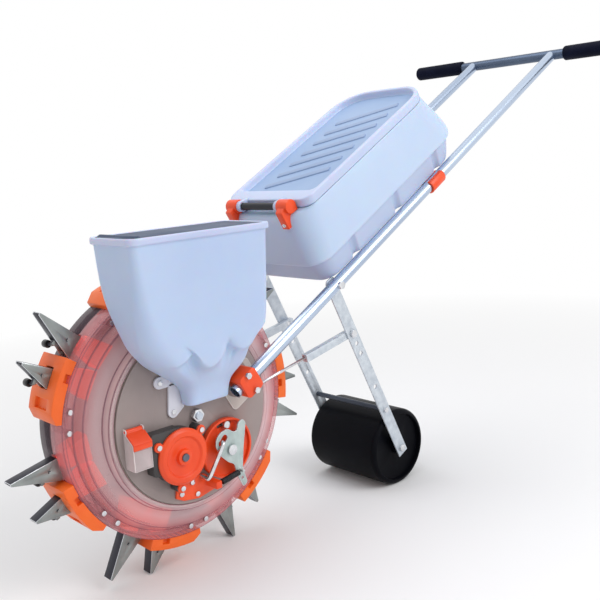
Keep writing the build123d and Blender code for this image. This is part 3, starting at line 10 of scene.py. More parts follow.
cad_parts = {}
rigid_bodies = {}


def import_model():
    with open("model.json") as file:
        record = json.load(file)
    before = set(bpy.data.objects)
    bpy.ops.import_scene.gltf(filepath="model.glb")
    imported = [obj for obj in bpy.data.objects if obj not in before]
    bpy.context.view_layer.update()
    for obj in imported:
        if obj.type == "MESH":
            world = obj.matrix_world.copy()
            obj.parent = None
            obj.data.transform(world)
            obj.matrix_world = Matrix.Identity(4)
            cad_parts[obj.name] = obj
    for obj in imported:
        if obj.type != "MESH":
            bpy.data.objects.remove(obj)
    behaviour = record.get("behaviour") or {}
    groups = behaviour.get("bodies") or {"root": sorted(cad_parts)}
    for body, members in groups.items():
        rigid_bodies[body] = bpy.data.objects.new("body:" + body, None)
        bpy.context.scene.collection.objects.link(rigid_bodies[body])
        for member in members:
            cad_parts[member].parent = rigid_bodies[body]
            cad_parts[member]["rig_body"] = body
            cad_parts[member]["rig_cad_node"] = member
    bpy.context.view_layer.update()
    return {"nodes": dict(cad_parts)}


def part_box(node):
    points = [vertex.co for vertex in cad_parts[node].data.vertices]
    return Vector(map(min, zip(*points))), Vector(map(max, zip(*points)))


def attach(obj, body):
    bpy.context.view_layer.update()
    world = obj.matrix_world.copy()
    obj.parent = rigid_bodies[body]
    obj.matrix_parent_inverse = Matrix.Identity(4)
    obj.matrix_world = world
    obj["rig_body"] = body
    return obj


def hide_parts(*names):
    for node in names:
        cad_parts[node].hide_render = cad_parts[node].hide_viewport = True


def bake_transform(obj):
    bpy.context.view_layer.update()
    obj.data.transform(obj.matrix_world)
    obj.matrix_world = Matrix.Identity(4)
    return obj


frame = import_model()
nodes = frame["nodes"]


# Stage
# A pale floor that fades to white, soft light from above and from the metering side, and a camera in front
# of the drum that stands a little above the tank and leans slightly, as the photograph was taken.
CAMERA_PLACE = Vector((-1.1075, -1.1100, 0.6601))
CAMERA_YAW = math.radians(42.80)
CAMERA_PITCH = math.radians(-9.96)
CAMERA_ROLL = math.radians(-3.64)
CAMERA_LENS = 49.04
FLOOR_HALF = 12.0
FLOOR_PALE = (0.90, 0.90, 0.91, 1)
FLOOR_FADE = (0.75, 2.2)
AMBIENT = 0.62

scene = bpy.context.scene
scene.view_settings.view_transform = "Standard"
camera = bpy.data.objects.new("camera", bpy.data.cameras.new("camera"))
scene.collection.objects.link(camera)
camera.data.lens = CAMERA_LENS
camera.data.clip_end = 100
camera.matrix_world = (
    Matrix.Translation(CAMERA_PLACE)
    @ Matrix.Rotation(-CAMERA_YAW, 4, "Z")
    @ Matrix.Rotation(math.pi / 2 + CAMERA_PITCH, 4, "X")
    @ Matrix.Rotation(CAMERA_ROLL, 4, "Z")
)
scene.camera = camera


def soft_lamp(name, place, aim, size, power):
    lamp = bpy.data.objects.new(name, bpy.data.lights.new(name, "AREA"))
    scene.collection.objects.link(lamp)
    lamp.data.size = size
    lamp.data.energy = power
    lamp.location = place
    lamp.rotation_euler = (Vector(aim) - Vector(place)).to_track_quat("-Z", "Y").to_euler()


soft_lamp("key_lamp", place=(0.6, -2.4, 2.2), aim=(0.0, 0.0, 0.4), size=1.8, power=42)
soft_lamp("top_lamp", place=(-0.45, 0.6, 2.8), aim=(0.0, 0.0, 0.3), size=2.0, power=26)


def shown_rays(tree):
    """1 for rays that show a backdrop: straight from the camera, off gloss or through glass."""
    path = tree.nodes.new("ShaderNodeLightPath")
    either = tree.nodes.new("ShaderNodeMath")
    either.operation = "MAXIMUM"
    any_of = tree.nodes.new("ShaderNodeMath")
    any_of.operation = "MAXIMUM"
    tree.links.new(path.outputs["Is Camera Ray"], either.inputs[0])
    tree.links.new(path.outputs["Is Glossy Ray"], either.inputs[1])
    tree.links.new(either.outputs[0], any_of.inputs[0])
    tree.links.new(path.outputs["Is Transmission Ray"], any_of.inputs[1])
    return any_of.outputs[0]


world = bpy.data.worlds.new("studio")
scene.world = world
world.use_nodes = True
sky = world.node_tree.nodes["Background"]
sky.inputs["Color"].default_value = (1, 1, 1, 1)
sky_level = world.node_tree.nodes.new("ShaderNodeMapRange")
sky_level.inputs["To Min"].default_value = AMBIENT
sky_level.inputs["To Max"].default_value = 1.0
world.node_tree.links.new(shown_rays(world.node_tree), sky_level.inputs["Value"])
world.node_tree.links.new(sky_level.outputs["Result"], sky.inputs["Strength"])

bpy.ops.object.select_all(action="DESELECT")
bpy.ops.mesh.primitive_plane_add(size=2 * FLOOR_HALF)
floor = bpy.context.object
floor.name = "floor"
pale = bpy.data.materials.new("pale_floor")
pale.use_nodes = True
pale_tree = pale.node_tree
pale_shader = pale_tree.nodes["Principled BSDF"]
pale_shader.inputs["Base Color"].default_value = FLOOR_PALE
pale_shader.inputs["Roughness"].default_value = 0.9
pale_shader.inputs["Specular IOR Level"].default_value = 0.0
white = pale_tree.nodes.new("ShaderNodeEmission")
spot = pale_tree.nodes.new("ShaderNodeTexCoord")
reach = pale_tree.nodes.new("ShaderNodeVectorMath")
reach.operation = "LENGTH"
fade = pale_tree.nodes.new("ShaderNodeMapRange")
fade.inputs["From Min"].default_value = FLOOR_FADE[0]
fade.inputs["From Max"].default_value = FLOOR_FADE[1]
shown = pale_tree.nodes.new("ShaderNodeMath")
shown.operation = "MULTIPLY"
blend = pale_tree.nodes.new("ShaderNodeMixShader")
pale_tree.links.new(spot.outputs["Object"], reach.inputs[0])
pale_tree.links.new(reach.outputs["Value"], fade.inputs["Value"])
pale_tree.links.new(fade.outputs["Result"], shown.inputs[0])
pale_tree.links.new(shown_rays(pale_tree), shown.inputs[1])
pale_tree.links.new(shown.outputs[0], blend.inputs["Fac"])
pale_tree.links.new(pale_shader.outputs[0], blend.inputs[1])
pale_tree.links.new(white.outputs[0], blend.inputs[2])
pale_tree.links.new(blend.outputs[0], pale_tree.nodes["Material Output"].inputs["Surface"])
floor.data.materials.append(pale)


# Axle, hub and far arm
# A steel axle with a nut at each end carries the drum's moulded hub on two bushes; a flat steel arm on the
# far side and the side plate hold it to the tubes. The steel is zinc plated, with the faint cloudy tone that
# a bath leaves.
ZINC_LIGHT = (0.66, 0.71, 0.78, 1)
ZINC_DARK = (0.46, 0.51, 0.58, 1)
NYLON_LIGHT = (0.72, 0.66, 0.58, 1)
NYLON_DARK = (0.58, 0.52, 0.45, 1)


def uneven_surface():
    """Group of broad tone, gloss mask and fine height that breaks up a plain surface."""
    group = bpy.data.node_groups.new("uneven_surface", "ShaderNodeTree")
    sockets = group.interface
    sockets.new_socket("Vector", in_out="INPUT", socket_type="NodeSocketVector")
    sockets.new_socket("Light", in_out="INPUT", socket_type="NodeSocketColor")
    sockets.new_socket("Dark", in_out="INPUT", socket_type="NodeSocketColor")
    sockets.new_socket("Broad", in_out="INPUT", socket_type="NodeSocketFloat")
    sockets.new_socket("Fine", in_out="INPUT", socket_type="NodeSocketFloat")
    sockets.new_socket("Color", in_out="OUTPUT", socket_type="NodeSocketColor")
    sockets.new_socket("Gloss", in_out="OUTPUT", socket_type="NodeSocketFloat")
    sockets.new_socket("Height", in_out="OUTPUT", socket_type="NodeSocketFloat")
    made, links = group.nodes, group.links
    given = made.new("NodeGroupInput")
    result = made.new("NodeGroupOutput")
    broad = made.new("ShaderNodeTexNoise")
    broad.inputs["Detail"].default_value = 5
    fine = made.new("ShaderNodeTexNoise")
    fine.inputs["Detail"].default_value = 3
    spread = made.new("ShaderNodeMapRange")
    spread.inputs["From Min"].default_value = 0.3
    spread.inputs["From Max"].default_value = 0.7
    tone = made.new("ShaderNodeMix")
    tone.data_type = "RGBA"
    both = made.new("ShaderNodeMath")
    both.operation = "MULTIPLY_ADD"
    both.inputs[1].default_value = 0.5
    half = made.new("ShaderNodeMath")
    half.operation = "MULTIPLY"
    half.inputs[1].default_value = 0.5
    links.new(given.outputs["Vector"], broad.inputs["Vector"])
    links.new(given.outputs["Vector"], fine.inputs["Vector"])
    links.new(given.outputs["Broad"], broad.inputs["Scale"])
    links.new(given.outputs["Fine"], fine.inputs["Scale"])
    links.new(broad.outputs["Fac"], spread.inputs["Value"])
    links.new(spread.outputs["Result"], tone.inputs["Factor"])
    links.new(given.outputs["Light"], tone.inputs[6])
    links.new(given.outputs["Dark"], tone.inputs[7])
    links.new(spread.outputs["Result"], half.inputs[0])
    links.new(fine.outputs["Fac"], both.inputs[0])
    links.new(half.outputs[0], both.inputs[2])
    links.new(tone.outputs[2], result.inputs["Color"])
    links.new(both.outputs[0], result.inputs["Gloss"])
    links.new(fine.outputs["Fac"], result.inputs["Height"])
    return group


uneven = uneven_surface()


def finish(name, light, dark, rough, broad, fine, bump, stretch=(1, 1, 1), turn=0.0):
    """Material whose tone, gloss and height vary over the surface, drawn out where it is stretched."""
    made = bpy.data.materials.new(name)
    made.use_nodes = True
    tree = made.node_tree
    shader = tree.nodes["Principled BSDF"]
    place = tree.nodes.new("ShaderNodeTexCoord")
    lay = tree.nodes.new("ShaderNodeMapping")
    lay.vector_type = "TEXTURE"
    lay.inputs["Rotation"].default_value = (0, turn, 0)
    lay.inputs["Scale"].default_value = stretch
    pattern = tree.nodes.new("ShaderNodeGroup")
    pattern.name = "pattern"
    pattern.node_tree = uneven
    pattern.inputs["Light"].default_value = light
    pattern.inputs["Dark"].default_value = dark
    pattern.inputs["Broad"].default_value = broad
    pattern.inputs["Fine"].default_value = fine
    gloss = tree.nodes.new("ShaderNodeMapRange")
    gloss.inputs["To Min"].default_value = rough[0]
    gloss.inputs["To Max"].default_value = rough[1]
    relief = tree.nodes.new("ShaderNodeBump")
    relief.inputs["Strength"].default_value = 1.0
    relief.inputs["Distance"].default_value = bump
    tree.links.new(place.outputs["Object"], lay.inputs["Vector"])
    tree.links.new(lay.outputs["Vector"], pattern.inputs["Vector"])
    tree.links.new(pattern.outputs["Color"], shader.inputs["Base Color"])
    tree.links.new(pattern.outputs["Gloss"], gloss.inputs["Value"])
    tree.links.new(gloss.outputs["Result"], shader.inputs["Roughness"])
    tree.links.new(pattern.outputs["Height"], relief.inputs["Height"])
    tree.links.new(relief.outputs["Normal"], shader.inputs["Normal"])
    return made


def plain(material, **values):
    """Set constants on a material's shader, such as metallic or coat_weight."""
    shader = material.node_tree.nodes["Principled BSDF"]
    for name, value in values.items():
        shader.inputs[name.replace("_", " ").title().replace("Ior", "IOR")].default_value = value
    return material


def coat(material, *names):
    """Give a material to solids whose shape stays."""
    for name in names:
        for slot in nodes[name].material_slots:
            slot.material = material


zinc = finish("zinc_plate", ZINC_LIGHT, ZINC_DARK, rough=(0.24, 0.42), broad=22, fine=260, bump=0.00004)
plain(zinc, metallic=0.9)
nylon = finish("pale_nylon", NYLON_LIGHT, NYLON_DARK, rough=(0.42, 0.58), broad=18, fine=300, bump=0.00003)
coat(zinc, "axle", "far_arm")
coat(nylon, "drum_hub", "hub_bearings", "ring_gear")


# Drum shells and chutes
# Two stepped halves of moulded plastic are screwed together at the rim: clear and slightly pink on the
# metering side, smoked on the far side. Red funnels inside the rim lead the grain to the beaks and tint what
# shows through.
CLEAR_LIGHT = (0.88, 0.37, 0.38, 1)
CLEAR_DARK = (0.70, 0.26, 0.29, 1)
# Painted shade: dark mauve lines on the bevelled step edges of the clear half.
STEP_SHADE_LIGHT = (0.40, 0.15, 0.19, 1)
STEP_SHADE_DARK = (0.26, 0.09, 0.13, 1)
SMOKE_LIGHT = (0.070, 0.034, 0.052, 1)
SMOKE_DARK = (0.038, 0.018, 0.030, 1)
# Painted light: the tone of the smoked faces that look into the drum.
SMOKE_INSIDE_LIT = (0.72, 0.46, 0.47, 1)
CONE_BEIGE = (0.90, 0.66, 0.68, 1)
CONE_RADII = (0.168, 0.188)
CHUTE_LIGHT = (0.95, 0.10, 0.05, 1)
CHUTE_DARK = (0.80, 0.06, 0.035, 1)
# Painted light: the red funnels glow faintly, though they are no lamp.
CHUTE_PAINTED_GLOW = 0.35
INWARD = (-0.15, -0.55)
WELD = 0.000002
STRAIGHT = 0.0001
FLAT_ANGLE = math.radians(0.5)
CORNER_ANGLE = math.radians(14)
EDGE_ANGLE = math.radians(35)


def only(piece):
    """Make one object the selected and active one."""
    bpy.ops.object.select_all(action="DESELECT")
    piece.select_set(True)
    bpy.context.view_layer.objects.active = piece


def dress(piece, *materials):
    piece.data.materials.clear()
    for material in materials:
        piece.data.materials.append(material)


def pick(piece, kind, wanted):
    """In edit mode, select just the verts, edges or faces that pass a test."""
    bpy.ops.mesh.select_mode(type=kind)
    bpy.ops.mesh.select_all(action="DESELECT")
    cage = bmesh.from_edit_mesh(piece.data)
    cage.normal_update()
    found = {"VERT": cage.verts, "EDGE": cage.edges, "FACE": cage.faces}[kind]
    for part in found:
        part.select_set(bool(wanted(part)))
    cage.select_flush_mode()
    bmesh.update_edit_mesh(piece.data)


def runs_across(edge):
    """True of an edge that lies along the machine's width."""
    span = edge.verts[0].co - edge.verts[1].co
    return abs(span.x) + abs(span.z) < STRAIGHT


def break_edges(piece, width, segments=2, clamp=True, slot=-1):
    """Bevel the sharp edges of the active piece, in a material slot of their own if one is given."""
    broken = piece.modifiers.new("broken_edges", "BEVEL")
    broken.width = width
    broken.segments = segments
    broken.limit_method = "ANGLE"
    broken.angle_limit = EDGE_ANGLE
    broken.use_clamp_overlap = clamp
    broken.material = slot
    bpy.ops.object.modifier_apply(modifier=broken.name)
    bpy.ops.object.shade_smooth_by_angle(angle=EDGE_ANGLE)


def rounded_copy(node, edge, *materials, corner=0):
    """Copy of a solid that stands for its node, with its edges broken; a second material lies on the edges.

    A corner radius first rounds the outline of a sheet that lies in the machine's side view.
    """
    solid = nodes[node]
    piece = solid.copy()
    piece.data = solid.data.copy()
    piece.name = node + "_finished"
    scene.collection.objects.link(piece)
    del piece["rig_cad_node"]
    only(piece)
    bpy.ops.mesh.customdata_custom_splitnormals_clear()
    bpy.ops.object.mode_set(mode="EDIT")
    bpy.ops.mesh.select_all(action="SELECT")
    bpy.ops.mesh.remove_doubles(threshold=WELD)
    bpy.ops.mesh.dissolve_limited(angle_limit=FLAT_ANGLE)
    if corner:
        pick(piece, "EDGE", lambda side: runs_across(side) and side.calc_face_angle(0) > CORNER_ANGLE)
        bpy.ops.mesh.bevel(offset=corner, segments=5, affect="EDGES")
    bpy.ops.object.mode_set(mode="OBJECT")
    dress(piece, *materials)
    break_edges(piece, edge, clamp=False, slot=len(materials) - 1 if len(materials) > 1 else -1)
    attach(piece, solid["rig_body"])
    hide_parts(node)
    return piece


def see_through(material, facing, grazing):
    """Let a plastic show what is behind it, most where it is seen square on."""
    tree = material.node_tree
    slant = tree.nodes.new("ShaderNodeLayerWeight")
    slant.inputs["Blend"].default_value = 0.4
    cover = tree.nodes.new("ShaderNodeMapRange")
    cover.inputs["To Min"].default_value = facing
    cover.inputs["To Max"].default_value = grazing
    tree.links.new(slant.outputs["Facing"], cover.inputs["Value"])
    tree.links.new(cover.outputs["Result"], tree.nodes["Principled BSDF"].inputs["Alpha"])
    return material


def beige_inside(material):
    """Turn a drum shell from its own tint to beige towards the lip, by the distance from the axle."""
    tree = material.node_tree
    place = tree.nodes.new("ShaderNodeTexCoord")
    beside = tree.nodes.new("ShaderNodeVectorMath")
    beside.operation = "SUBTRACT"
    beside.inputs[1].default_value = axle_place
    flat = tree.nodes.new("ShaderNodeVectorMath")
    flat.operation = "MULTIPLY"
    flat.inputs[1].default_value = (1, 0, 1)
    far_off = tree.nodes.new("ShaderNodeVectorMath")
    far_off.operation = "LENGTH"
    outside = tree.nodes.new("ShaderNodeMapRange")
    outside.inputs["From Min"].default_value = CONE_RADII[0]
    outside.inputs["From Max"].default_value = CONE_RADII[1]
    tone = tree.nodes.new("ShaderNodeMix")
    tone.data_type = "RGBA"
    tone.inputs[6].default_value = CONE_BEIGE
    tree.links.new(place.outputs["Object"], beside.inputs[0])
    tree.links.new(beside.outputs["Vector"], flat.inputs[0])
    tree.links.new(flat.outputs["Vector"], far_off.inputs[0])
    tree.links.new(far_off.outputs["Value"], outside.inputs["Value"])
    tree.links.new(outside.outputs["Result"], tone.inputs["Factor"])
    tree.links.new(tree.nodes["pattern"].outputs["Color"], tone.inputs[7])
    tree.links.new(tone.outputs[2], tree.nodes["Principled BSDF"].inputs["Base Color"])


def paint_light_inside(material):
    """Painted light on smoked faces that look into the drum, where light comes through the clear half."""
    tree = material.node_tree
    place = tree.nodes.new("ShaderNodeTexCoord")
    split = tree.nodes.new("ShaderNodeSeparateXYZ")
    inward = tree.nodes.new("ShaderNodeMapRange")
    inward.inputs["From Min"].default_value = INWARD[0]
    inward.inputs["From Max"].default_value = INWARD[1]
    tone = tree.nodes.new("ShaderNodeMix")
    tone.data_type = "RGBA"
    tone.inputs[7].default_value = SMOKE_INSIDE_LIT
    tree.links.new(place.outputs["Normal"], split.inputs[0])
    tree.links.new(split.outputs["Y"], inward.inputs["Value"])
    tree.links.new(inward.outputs["Result"], tone.inputs["Factor"])
    tree.links.new(tree.nodes["pattern"].outputs["Color"], tone.inputs[6])
    tree.links.new(tone.outputs[2], tree.nodes["Principled BSDF"].inputs["Base Color"])


axle_low, axle_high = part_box("axle")
axle_place = (Vector(axle_low) + Vector(axle_high)) / 2
axle_place.y = 0
clear = finish("clear_shell", CLEAR_LIGHT, CLEAR_DARK, rough=(0.10, 0.22), broad=9, fine=40, bump=0.00002)
see_through(plain(clear, specular_ior_level=0.6), facing=0.28, grazing=0.72)
beige_inside(clear)
# Painted shade: the clear half's bevelled step edges take this darker, less see-through material.
painted_step_shade = finish("shell_step_shade", STEP_SHADE_LIGHT, STEP_SHADE_DARK, rough=(0.10, 0.22), broad=9, fine=40, bump=0.00002)
see_through(painted_step_shade, facing=0.60, grazing=0.95)
smoked = finish("smoked_shell", SMOKE_LIGHT, SMOKE_DARK, rough=(0.14, 0.28), broad=9, fine=40, bump=0.00002)
see_through(plain(smoked, specular_ior_level=0.12), facing=0.62, grazing=0.99)
# Painted light on the smoked faces that look into the drum.
paint_light_inside(smoked)
chute_red = finish("chute_red", CHUTE_LIGHT, CHUTE_DARK, rough=(0.40, 0.55), broad=14, fine=200, bump=0.00003)
# Painted light: a faint red glow on the funnels.
plain(chute_red, emission_color=CHUTE_LIGHT, emission_strength=CHUTE_PAINTED_GLOW)
rounded_copy("near_shell", 0.0012, clear, painted_step_shade)
rounded_copy("far_shell", 0.0010, smoked)
coat(chute_red, "chutes")


# Beaks, jaws and pins
# Folded steel sheet: the cheeks are brushed and lighter where they face sideways, the web and the jaw's face
# are darker where they face front and back, and the folds carry a painted highlight. A black knob on the far
# side of each jaw opens it, on a steel pin through the cheeks.
CHEEK_LIGHT = (0.36, 0.385, 0.375, 1)
CHEEK_DARK = (0.23, 0.25, 0.245, 1)
WEB_DARK = (0.030, 0.030, 0.042, 1)
KNOB_BLACK = (0.012, 0.012, 0.014, 1)
KNOB_START = 0.0113
# Painted highlight: the near-white steel of the bevelled folds.
FOLD_HIGHLIGHT_LIGHT = (0.86, 0.88, 0.92, 1)
FOLD_HIGHLIGHT_DARK = (0.62, 0.64, 0.68, 1)
BRIGHT_LIGHT = (0.80, 0.81, 0.83, 1)
BRIGHT_DARK = (0.60, 0.61, 0.63, 1)
BEAK_METAL = 0.7
SIDEWAYS = (0.45, 0.75)
BEAKS = 7


def beak_finish(name, with_knob):
    """Steel that is lighter where it faces sideways and dark elsewhere, and black beyond the knob's start."""
    steel = finish(name, CHEEK_LIGHT, CHEEK_DARK, rough=(0.28, 0.46), broad=30, fine=420, bump=0.00005)
    plain(steel, metallic=BEAK_METAL)
    tree = steel.node_tree
    shader = tree.nodes["Principled BSDF"]
    place = tree.nodes.new("ShaderNodeTexCoord")
    split = tree.nodes.new("ShaderNodeSeparateXYZ")
    size = tree.nodes.new("ShaderNodeMath")
    size.operation = "ABSOLUTE"
    sideways = tree.nodes.new("ShaderNodeMapRange")
    sideways.inputs["From Min"].default_value = SIDEWAYS[0]
    sideways.inputs["From Max"].default_value = SIDEWAYS[1]
    tone = tree.nodes.new("ShaderNodeMix")
    tone.data_type = "RGBA"
    tone.inputs[6].default_value = WEB_DARK
    tree.links.new(place.outputs["Normal"], split.inputs[0])
    tree.links.new(split.outputs["Y"], size.inputs[0])
    tree.links.new(size.outputs[0], sideways.inputs["Value"])
    tree.links.new(sideways.outputs["Result"], tone.inputs["Factor"])
    tree.links.new(tree.nodes["pattern"].outputs["Color"], tone.inputs[7])
    colour = tone.outputs[2]
    if with_knob:
        depth = tree.nodes.new("ShaderNodeSeparateXYZ")
        beyond = tree.nodes.new("ShaderNodeMath")
        beyond.operation = "GREATER_THAN"
        beyond.inputs[1].default_value = KNOB_START
        black = tree.nodes.new("ShaderNodeMix")
        black.data_type = "RGBA"
        black.inputs[7].default_value = KNOB_BLACK
        metal = tree.nodes.new("ShaderNodeMapRange")
        metal.inputs["To Min"].default_value = BEAK_METAL
        metal.inputs["To Max"].default_value = 0.0
        tree.links.new(place.outputs["Object"], depth.inputs[0])
        tree.links.new(depth.outputs["Y"], beyond.inputs[0])
        tree.links.new(beyond.outputs[0], black.inputs["Factor"])
        tree.links.new(colour, black.inputs[6])
        tree.links.new(beyond.outputs[0], metal.inputs["Value"])
        tree.links.new(metal.outputs["Result"], shader.inputs["Metallic"])
        colour = black.outputs[2]
    tree.links.new(colour, shader.inputs["Base Color"])
    return steel


beak_steel = beak_finish("beak_steel", False)
jaw_steel = beak_finish("jaw_steel", True)
# Painted highlight laid on the bevelled folds of the beaks and on the lever's edges.
painted_fold_highlight = finish(
    "painted_fold_highlight", FOLD_HIGHLIGHT_LIGHT, FOLD_HIGHLIGHT_DARK, rough=(0.20, 0.34), broad=60, fine=500, bump=0.00003
)
plain(painted_fold_highlight, metallic=0.9)
bright = finish(
    "bright_steel", BRIGHT_LIGHT, BRIGHT_DARK, rough=(0.16, 0.30), broad=90, fine=700, bump=0.00002
)
plain(bright, metallic=0.95)
rounded_copy("seed_beaks", 0.0006, beak_steel, painted_fold_highlight)
rounded_copy("fert_beaks", 0.0006, beak_steel, painted_fold_highlight)
for number in range(1, BEAKS + 1):
    rounded_copy(f"seed_jaw_{number}", 0.0004, jaw_steel)
    rounded_copy(f"fert_jaw_{number}", 0.0004, jaw_steel)
coat(beak_steel, "jaw_pins")


# Seats of the fertiliser beaks and drum screws
# Seven orange mouldings sit on the rim, each with a slot for its beak and a window in its near side; screws
# with round heads clamp them and the two shells together.
SEAT_LIGHT = (0.96, 0.165, 0.012, 1)
SEAT_DARK = (0.86, 0.115, 0.008, 1)

seat_orange = finish(
    "seat_orange", SEAT_LIGHT, SEAT_DARK, rough=(0.34, 0.50), broad=16, fine=240, bump=0.00004
)
rounded_copy("fert_seats", 0.0011, seat_orange)
rounded_copy("drum_screws", 0.0004, bright)


# Side plate and its screws
# A flat disc of beige plastic, slightly see-through, closes the drum's opening. It carries the meter, the
# hopper and, on a raised seat with a pale rim, the foot of the near tube. Pan head screws hold what stands
# on it.
PLATE_LIGHT = (0.435, 0.355, 0.335, 1)
PLATE_DARK = (0.295, 0.244, 0.236, 1)
PAD_LIGHT = (0.600, 0.540, 0.500, 1)
PAD_DARK = (0.480, 0.430, 0.400, 1)
PAD_WHITE = (0.820, 0.800, 0.800, 1)
PAD_FACE = -0.0727
PAD_SHEET = 0.003
PAD_SIZE = (0.071, 0.062)
PAD_MIDDLE = (0.0325, -0.017)
PAD_CORNER = 0.009
PAD_EDGE = 0.0012
TUBE_SLOPE = math.radians(29.4)
TUBE_FOOT = (0.057, 0, 0.028)


def settle(piece, place=None):
    """Put a piece's place, turn and size in its mesh, after a move if a place is given."""
    only(piece)
    if place is not None:
        piece.matrix_world = place
    bpy.ops.object.transform_apply(location=True, rotation=True, scale=True)


def block(size, place=(0, 0, 0), turn=0.0):
    """Box to be shaped further, turned about the upright."""
    bpy.ops.object.select_all(action="DESELECT")
    bpy.ops.mesh.primitive_cube_add(size=1, location=place, rotation=(0, 0, turn))
    piece = bpy.context.object
    piece.scale = size
    settle(piece)
    return piece


def join(piece, *others):
    """Make other pieces part of one."""
    only(piece)
    for other in others:
        other.select_set(True)
    bpy.ops.object.join()


beige = finish("beige_plate", PLATE_LIGHT, PLATE_DARK, rough=(0.22, 0.40), broad=5, fine=120, bump=0.00004)
see_through(beige, facing=0.86, grazing=0.98)
pad_beige = finish("pad_beige", PAD_LIGHT, PAD_DARK, rough=(0.22, 0.40), broad=12, fine=120, bump=0.00004)
pad_white = finish("pad_white", PAD_WHITE, PAD_LIGHT, rough=(0.22, 0.36), broad=20, fine=120, bump=0.00003)
plate = rounded_copy("near_plate", 0.0008, beige)
rounded_copy("plate_screws", 0.0004, bright)

tube_place = Matrix.Translation(axle_place + Vector(TUBE_FOOT)) @ Matrix.Rotation(-TUBE_SLOPE, 4, "Y")
pad = block((PAD_SIZE[0], PAD_SHEET, PAD_SIZE[1]))
dress(pad, pad_beige, pad_white)
bpy.ops.object.mode_set(mode="EDIT")
pick(pad, "EDGE", runs_across)
bpy.ops.mesh.bevel(offset=PAD_CORNER, segments=6, affect="EDGES")
pick(pad, "EDGE", lambda edge: all(v.co.y < -PAD_SHEET / 3 for v in edge.verts))
bpy.ops.mesh.bevel(offset=PAD_EDGE, segments=2, affect="EDGES", material=1)
bpy.ops.object.mode_set(mode="OBJECT")
pad_place = Matrix.Translation((PAD_MIDDLE[0], PAD_FACE - PAD_SHEET / 2, PAD_MIDDLE[1]))
settle(pad, tube_place @ pad_place)
bpy.ops.object.shade_smooth_by_angle(angle=EDGE_ANGLE)
join(plate, pad)


# Seed meter
# A dark moulded housing, half round and half flat-sided, holds the cell wheel under an orange cover. Beside
# it sits the orange rate dial with a plated lever, which a bent link and a black spring hold; an orange
# bracket for the spring's end is screwed on below.
COVER_LIGHT = (0.93, 0.088, 0.012, 1)
COVER_DARK = (0.80, 0.058, 0.008, 1)
HOUSING_LIGHT = (0.060, 0.056, 0.055, 1)
HOUSING_DARK = (0.034, 0.032, 0.032, 1)
CASE_SIZE = (0.0545, 0.0193, 0.0585)
CASE_MIDDLE = (-0.07225, -0.08225, -0.03375)
CASE_CHAMFERS = ((1, 0.006), (-1, 0.012))
HAIR = 0.00004
LEVER_LIGHT = (0.52, 0.60, 0.585, 1)
LEVER_DARK = (0.37, 0.45, 0.44, 1)
ROTOR_LIGHT = (0.150, 0.170, 0.210, 1)
ROTOR_DARK = (0.085, 0.095, 0.125, 1)
LINK_SKIN = 0.0006
SPRING_BLACK = (0.020, 0.020, 0.023, 1)
SPRING_GREY = (0.045, 0.045, 0.050, 1)
SPRING_WIRE = 0.00075
SPRING_COIL = 0.0043
SPRING_TURNS = 22
SPRING_LEAD = 0.0042
SPRING_BEND = 0.0016
SPRING_REACH = 0.0012
SPRING_FOOT = (0.017, -0.100, -0.114)
SPRING_PEG = (0.0635, -0.100, -0.107)
PEG_RADIUS = 0.0026


def swell(piece, skin):
    """Move a piece's whole surface out, or in where the skin is negative."""
    only(piece)
    bpy.ops.object.mode_set(mode="EDIT")
    bpy.ops.mesh.select_all(action="SELECT")
    bpy.ops.transform.shrink_fatten(value=skin)
    bpy.ops.object.mode_set(mode="OBJECT")


cover_orange = finish(
    "cover_orange", COVER_LIGHT, COVER_DARK, rough=(0.30, 0.46), broad=16, fine=240, bump=0.00004
)
housing_grey = finish(
    "housing_grey", HOUSING_LIGHT, HOUSING_DARK, rough=(0.40, 0.60), broad=20, fine=260, bump=0.00005
)
lever_zinc = finish(
    "lever_zinc", LEVER_LIGHT, LEVER_DARK, rough=(0.38, 0.55), broad=45, fine=420, bump=0.00004
)
plain(lever_zinc, metallic=0.45)
spring_black = finish(
    "spring_black", SPRING_GREY, SPRING_BLACK, rough=(0.28, 0.44), broad=120, fine=900, bump=0.00002
)
plain(spring_black, metallic=0.5)
rotor_grey = finish(
    "rotor_grey", ROTOR_LIGHT, ROTOR_DARK, rough=(0.30, 0.46), broad=40, fine=300, bump=0.00003
)
plain(rotor_grey, metallic=0.4)
housing = rounded_copy("meter_housing", 0.0010, housing_grey)
case_middle = axle_place + Vector(CASE_MIDDLE)
case = block(CASE_SIZE, case_middle)
bpy.ops.object.mode_set(mode="EDIT")
for level, width in CASE_CHAMFERS:
    pick(case, "EDGE", lambda edge: all(
        v.co.x < case_middle.x - CASE_SIZE[0] / 2 + HAIR
        and level * (v.co.z - case_middle.z) > CASE_SIZE[2] / 2 - HAIR
        for v in edge.verts
    ))
    bpy.ops.mesh.bevel(offset=width, segments=1, affect="EDGES")
bpy.ops.object.mode_set(mode="OBJECT")
break_edges(case, 0.0008)
dress(case, housing_grey)
join(housing, case)
rounded_copy("meter_cover", 0.0008, cover_orange)
rounded_copy("rate_dial", 0.0008, cover_orange)
# The lever's bevelled edges carry the painted highlight of the folds.
rounded_copy("gate_lever", 0.0006, lever_zinc, painted_fold_highlight, corner=0.0038)
rounded_copy("corner_bracket", 0.0010, cover_orange)
swell(rounded_copy("link_rod", 0.0003, bright), LINK_SKIN)
coat(rotor_grey, "seed_rotor", "fert_rotor")

spring_start = axle_place + Vector(SPRING_FOOT)
spring_peg = axle_place + Vector(SPRING_PEG)
spring_way = (spring_peg - spring_start).normalized()
spring_end = spring_peg - spring_way * PEG_RADIUS
spring_length = (spring_end - spring_start).length
coil_length = spring_length - 2 * SPRING_LEAD

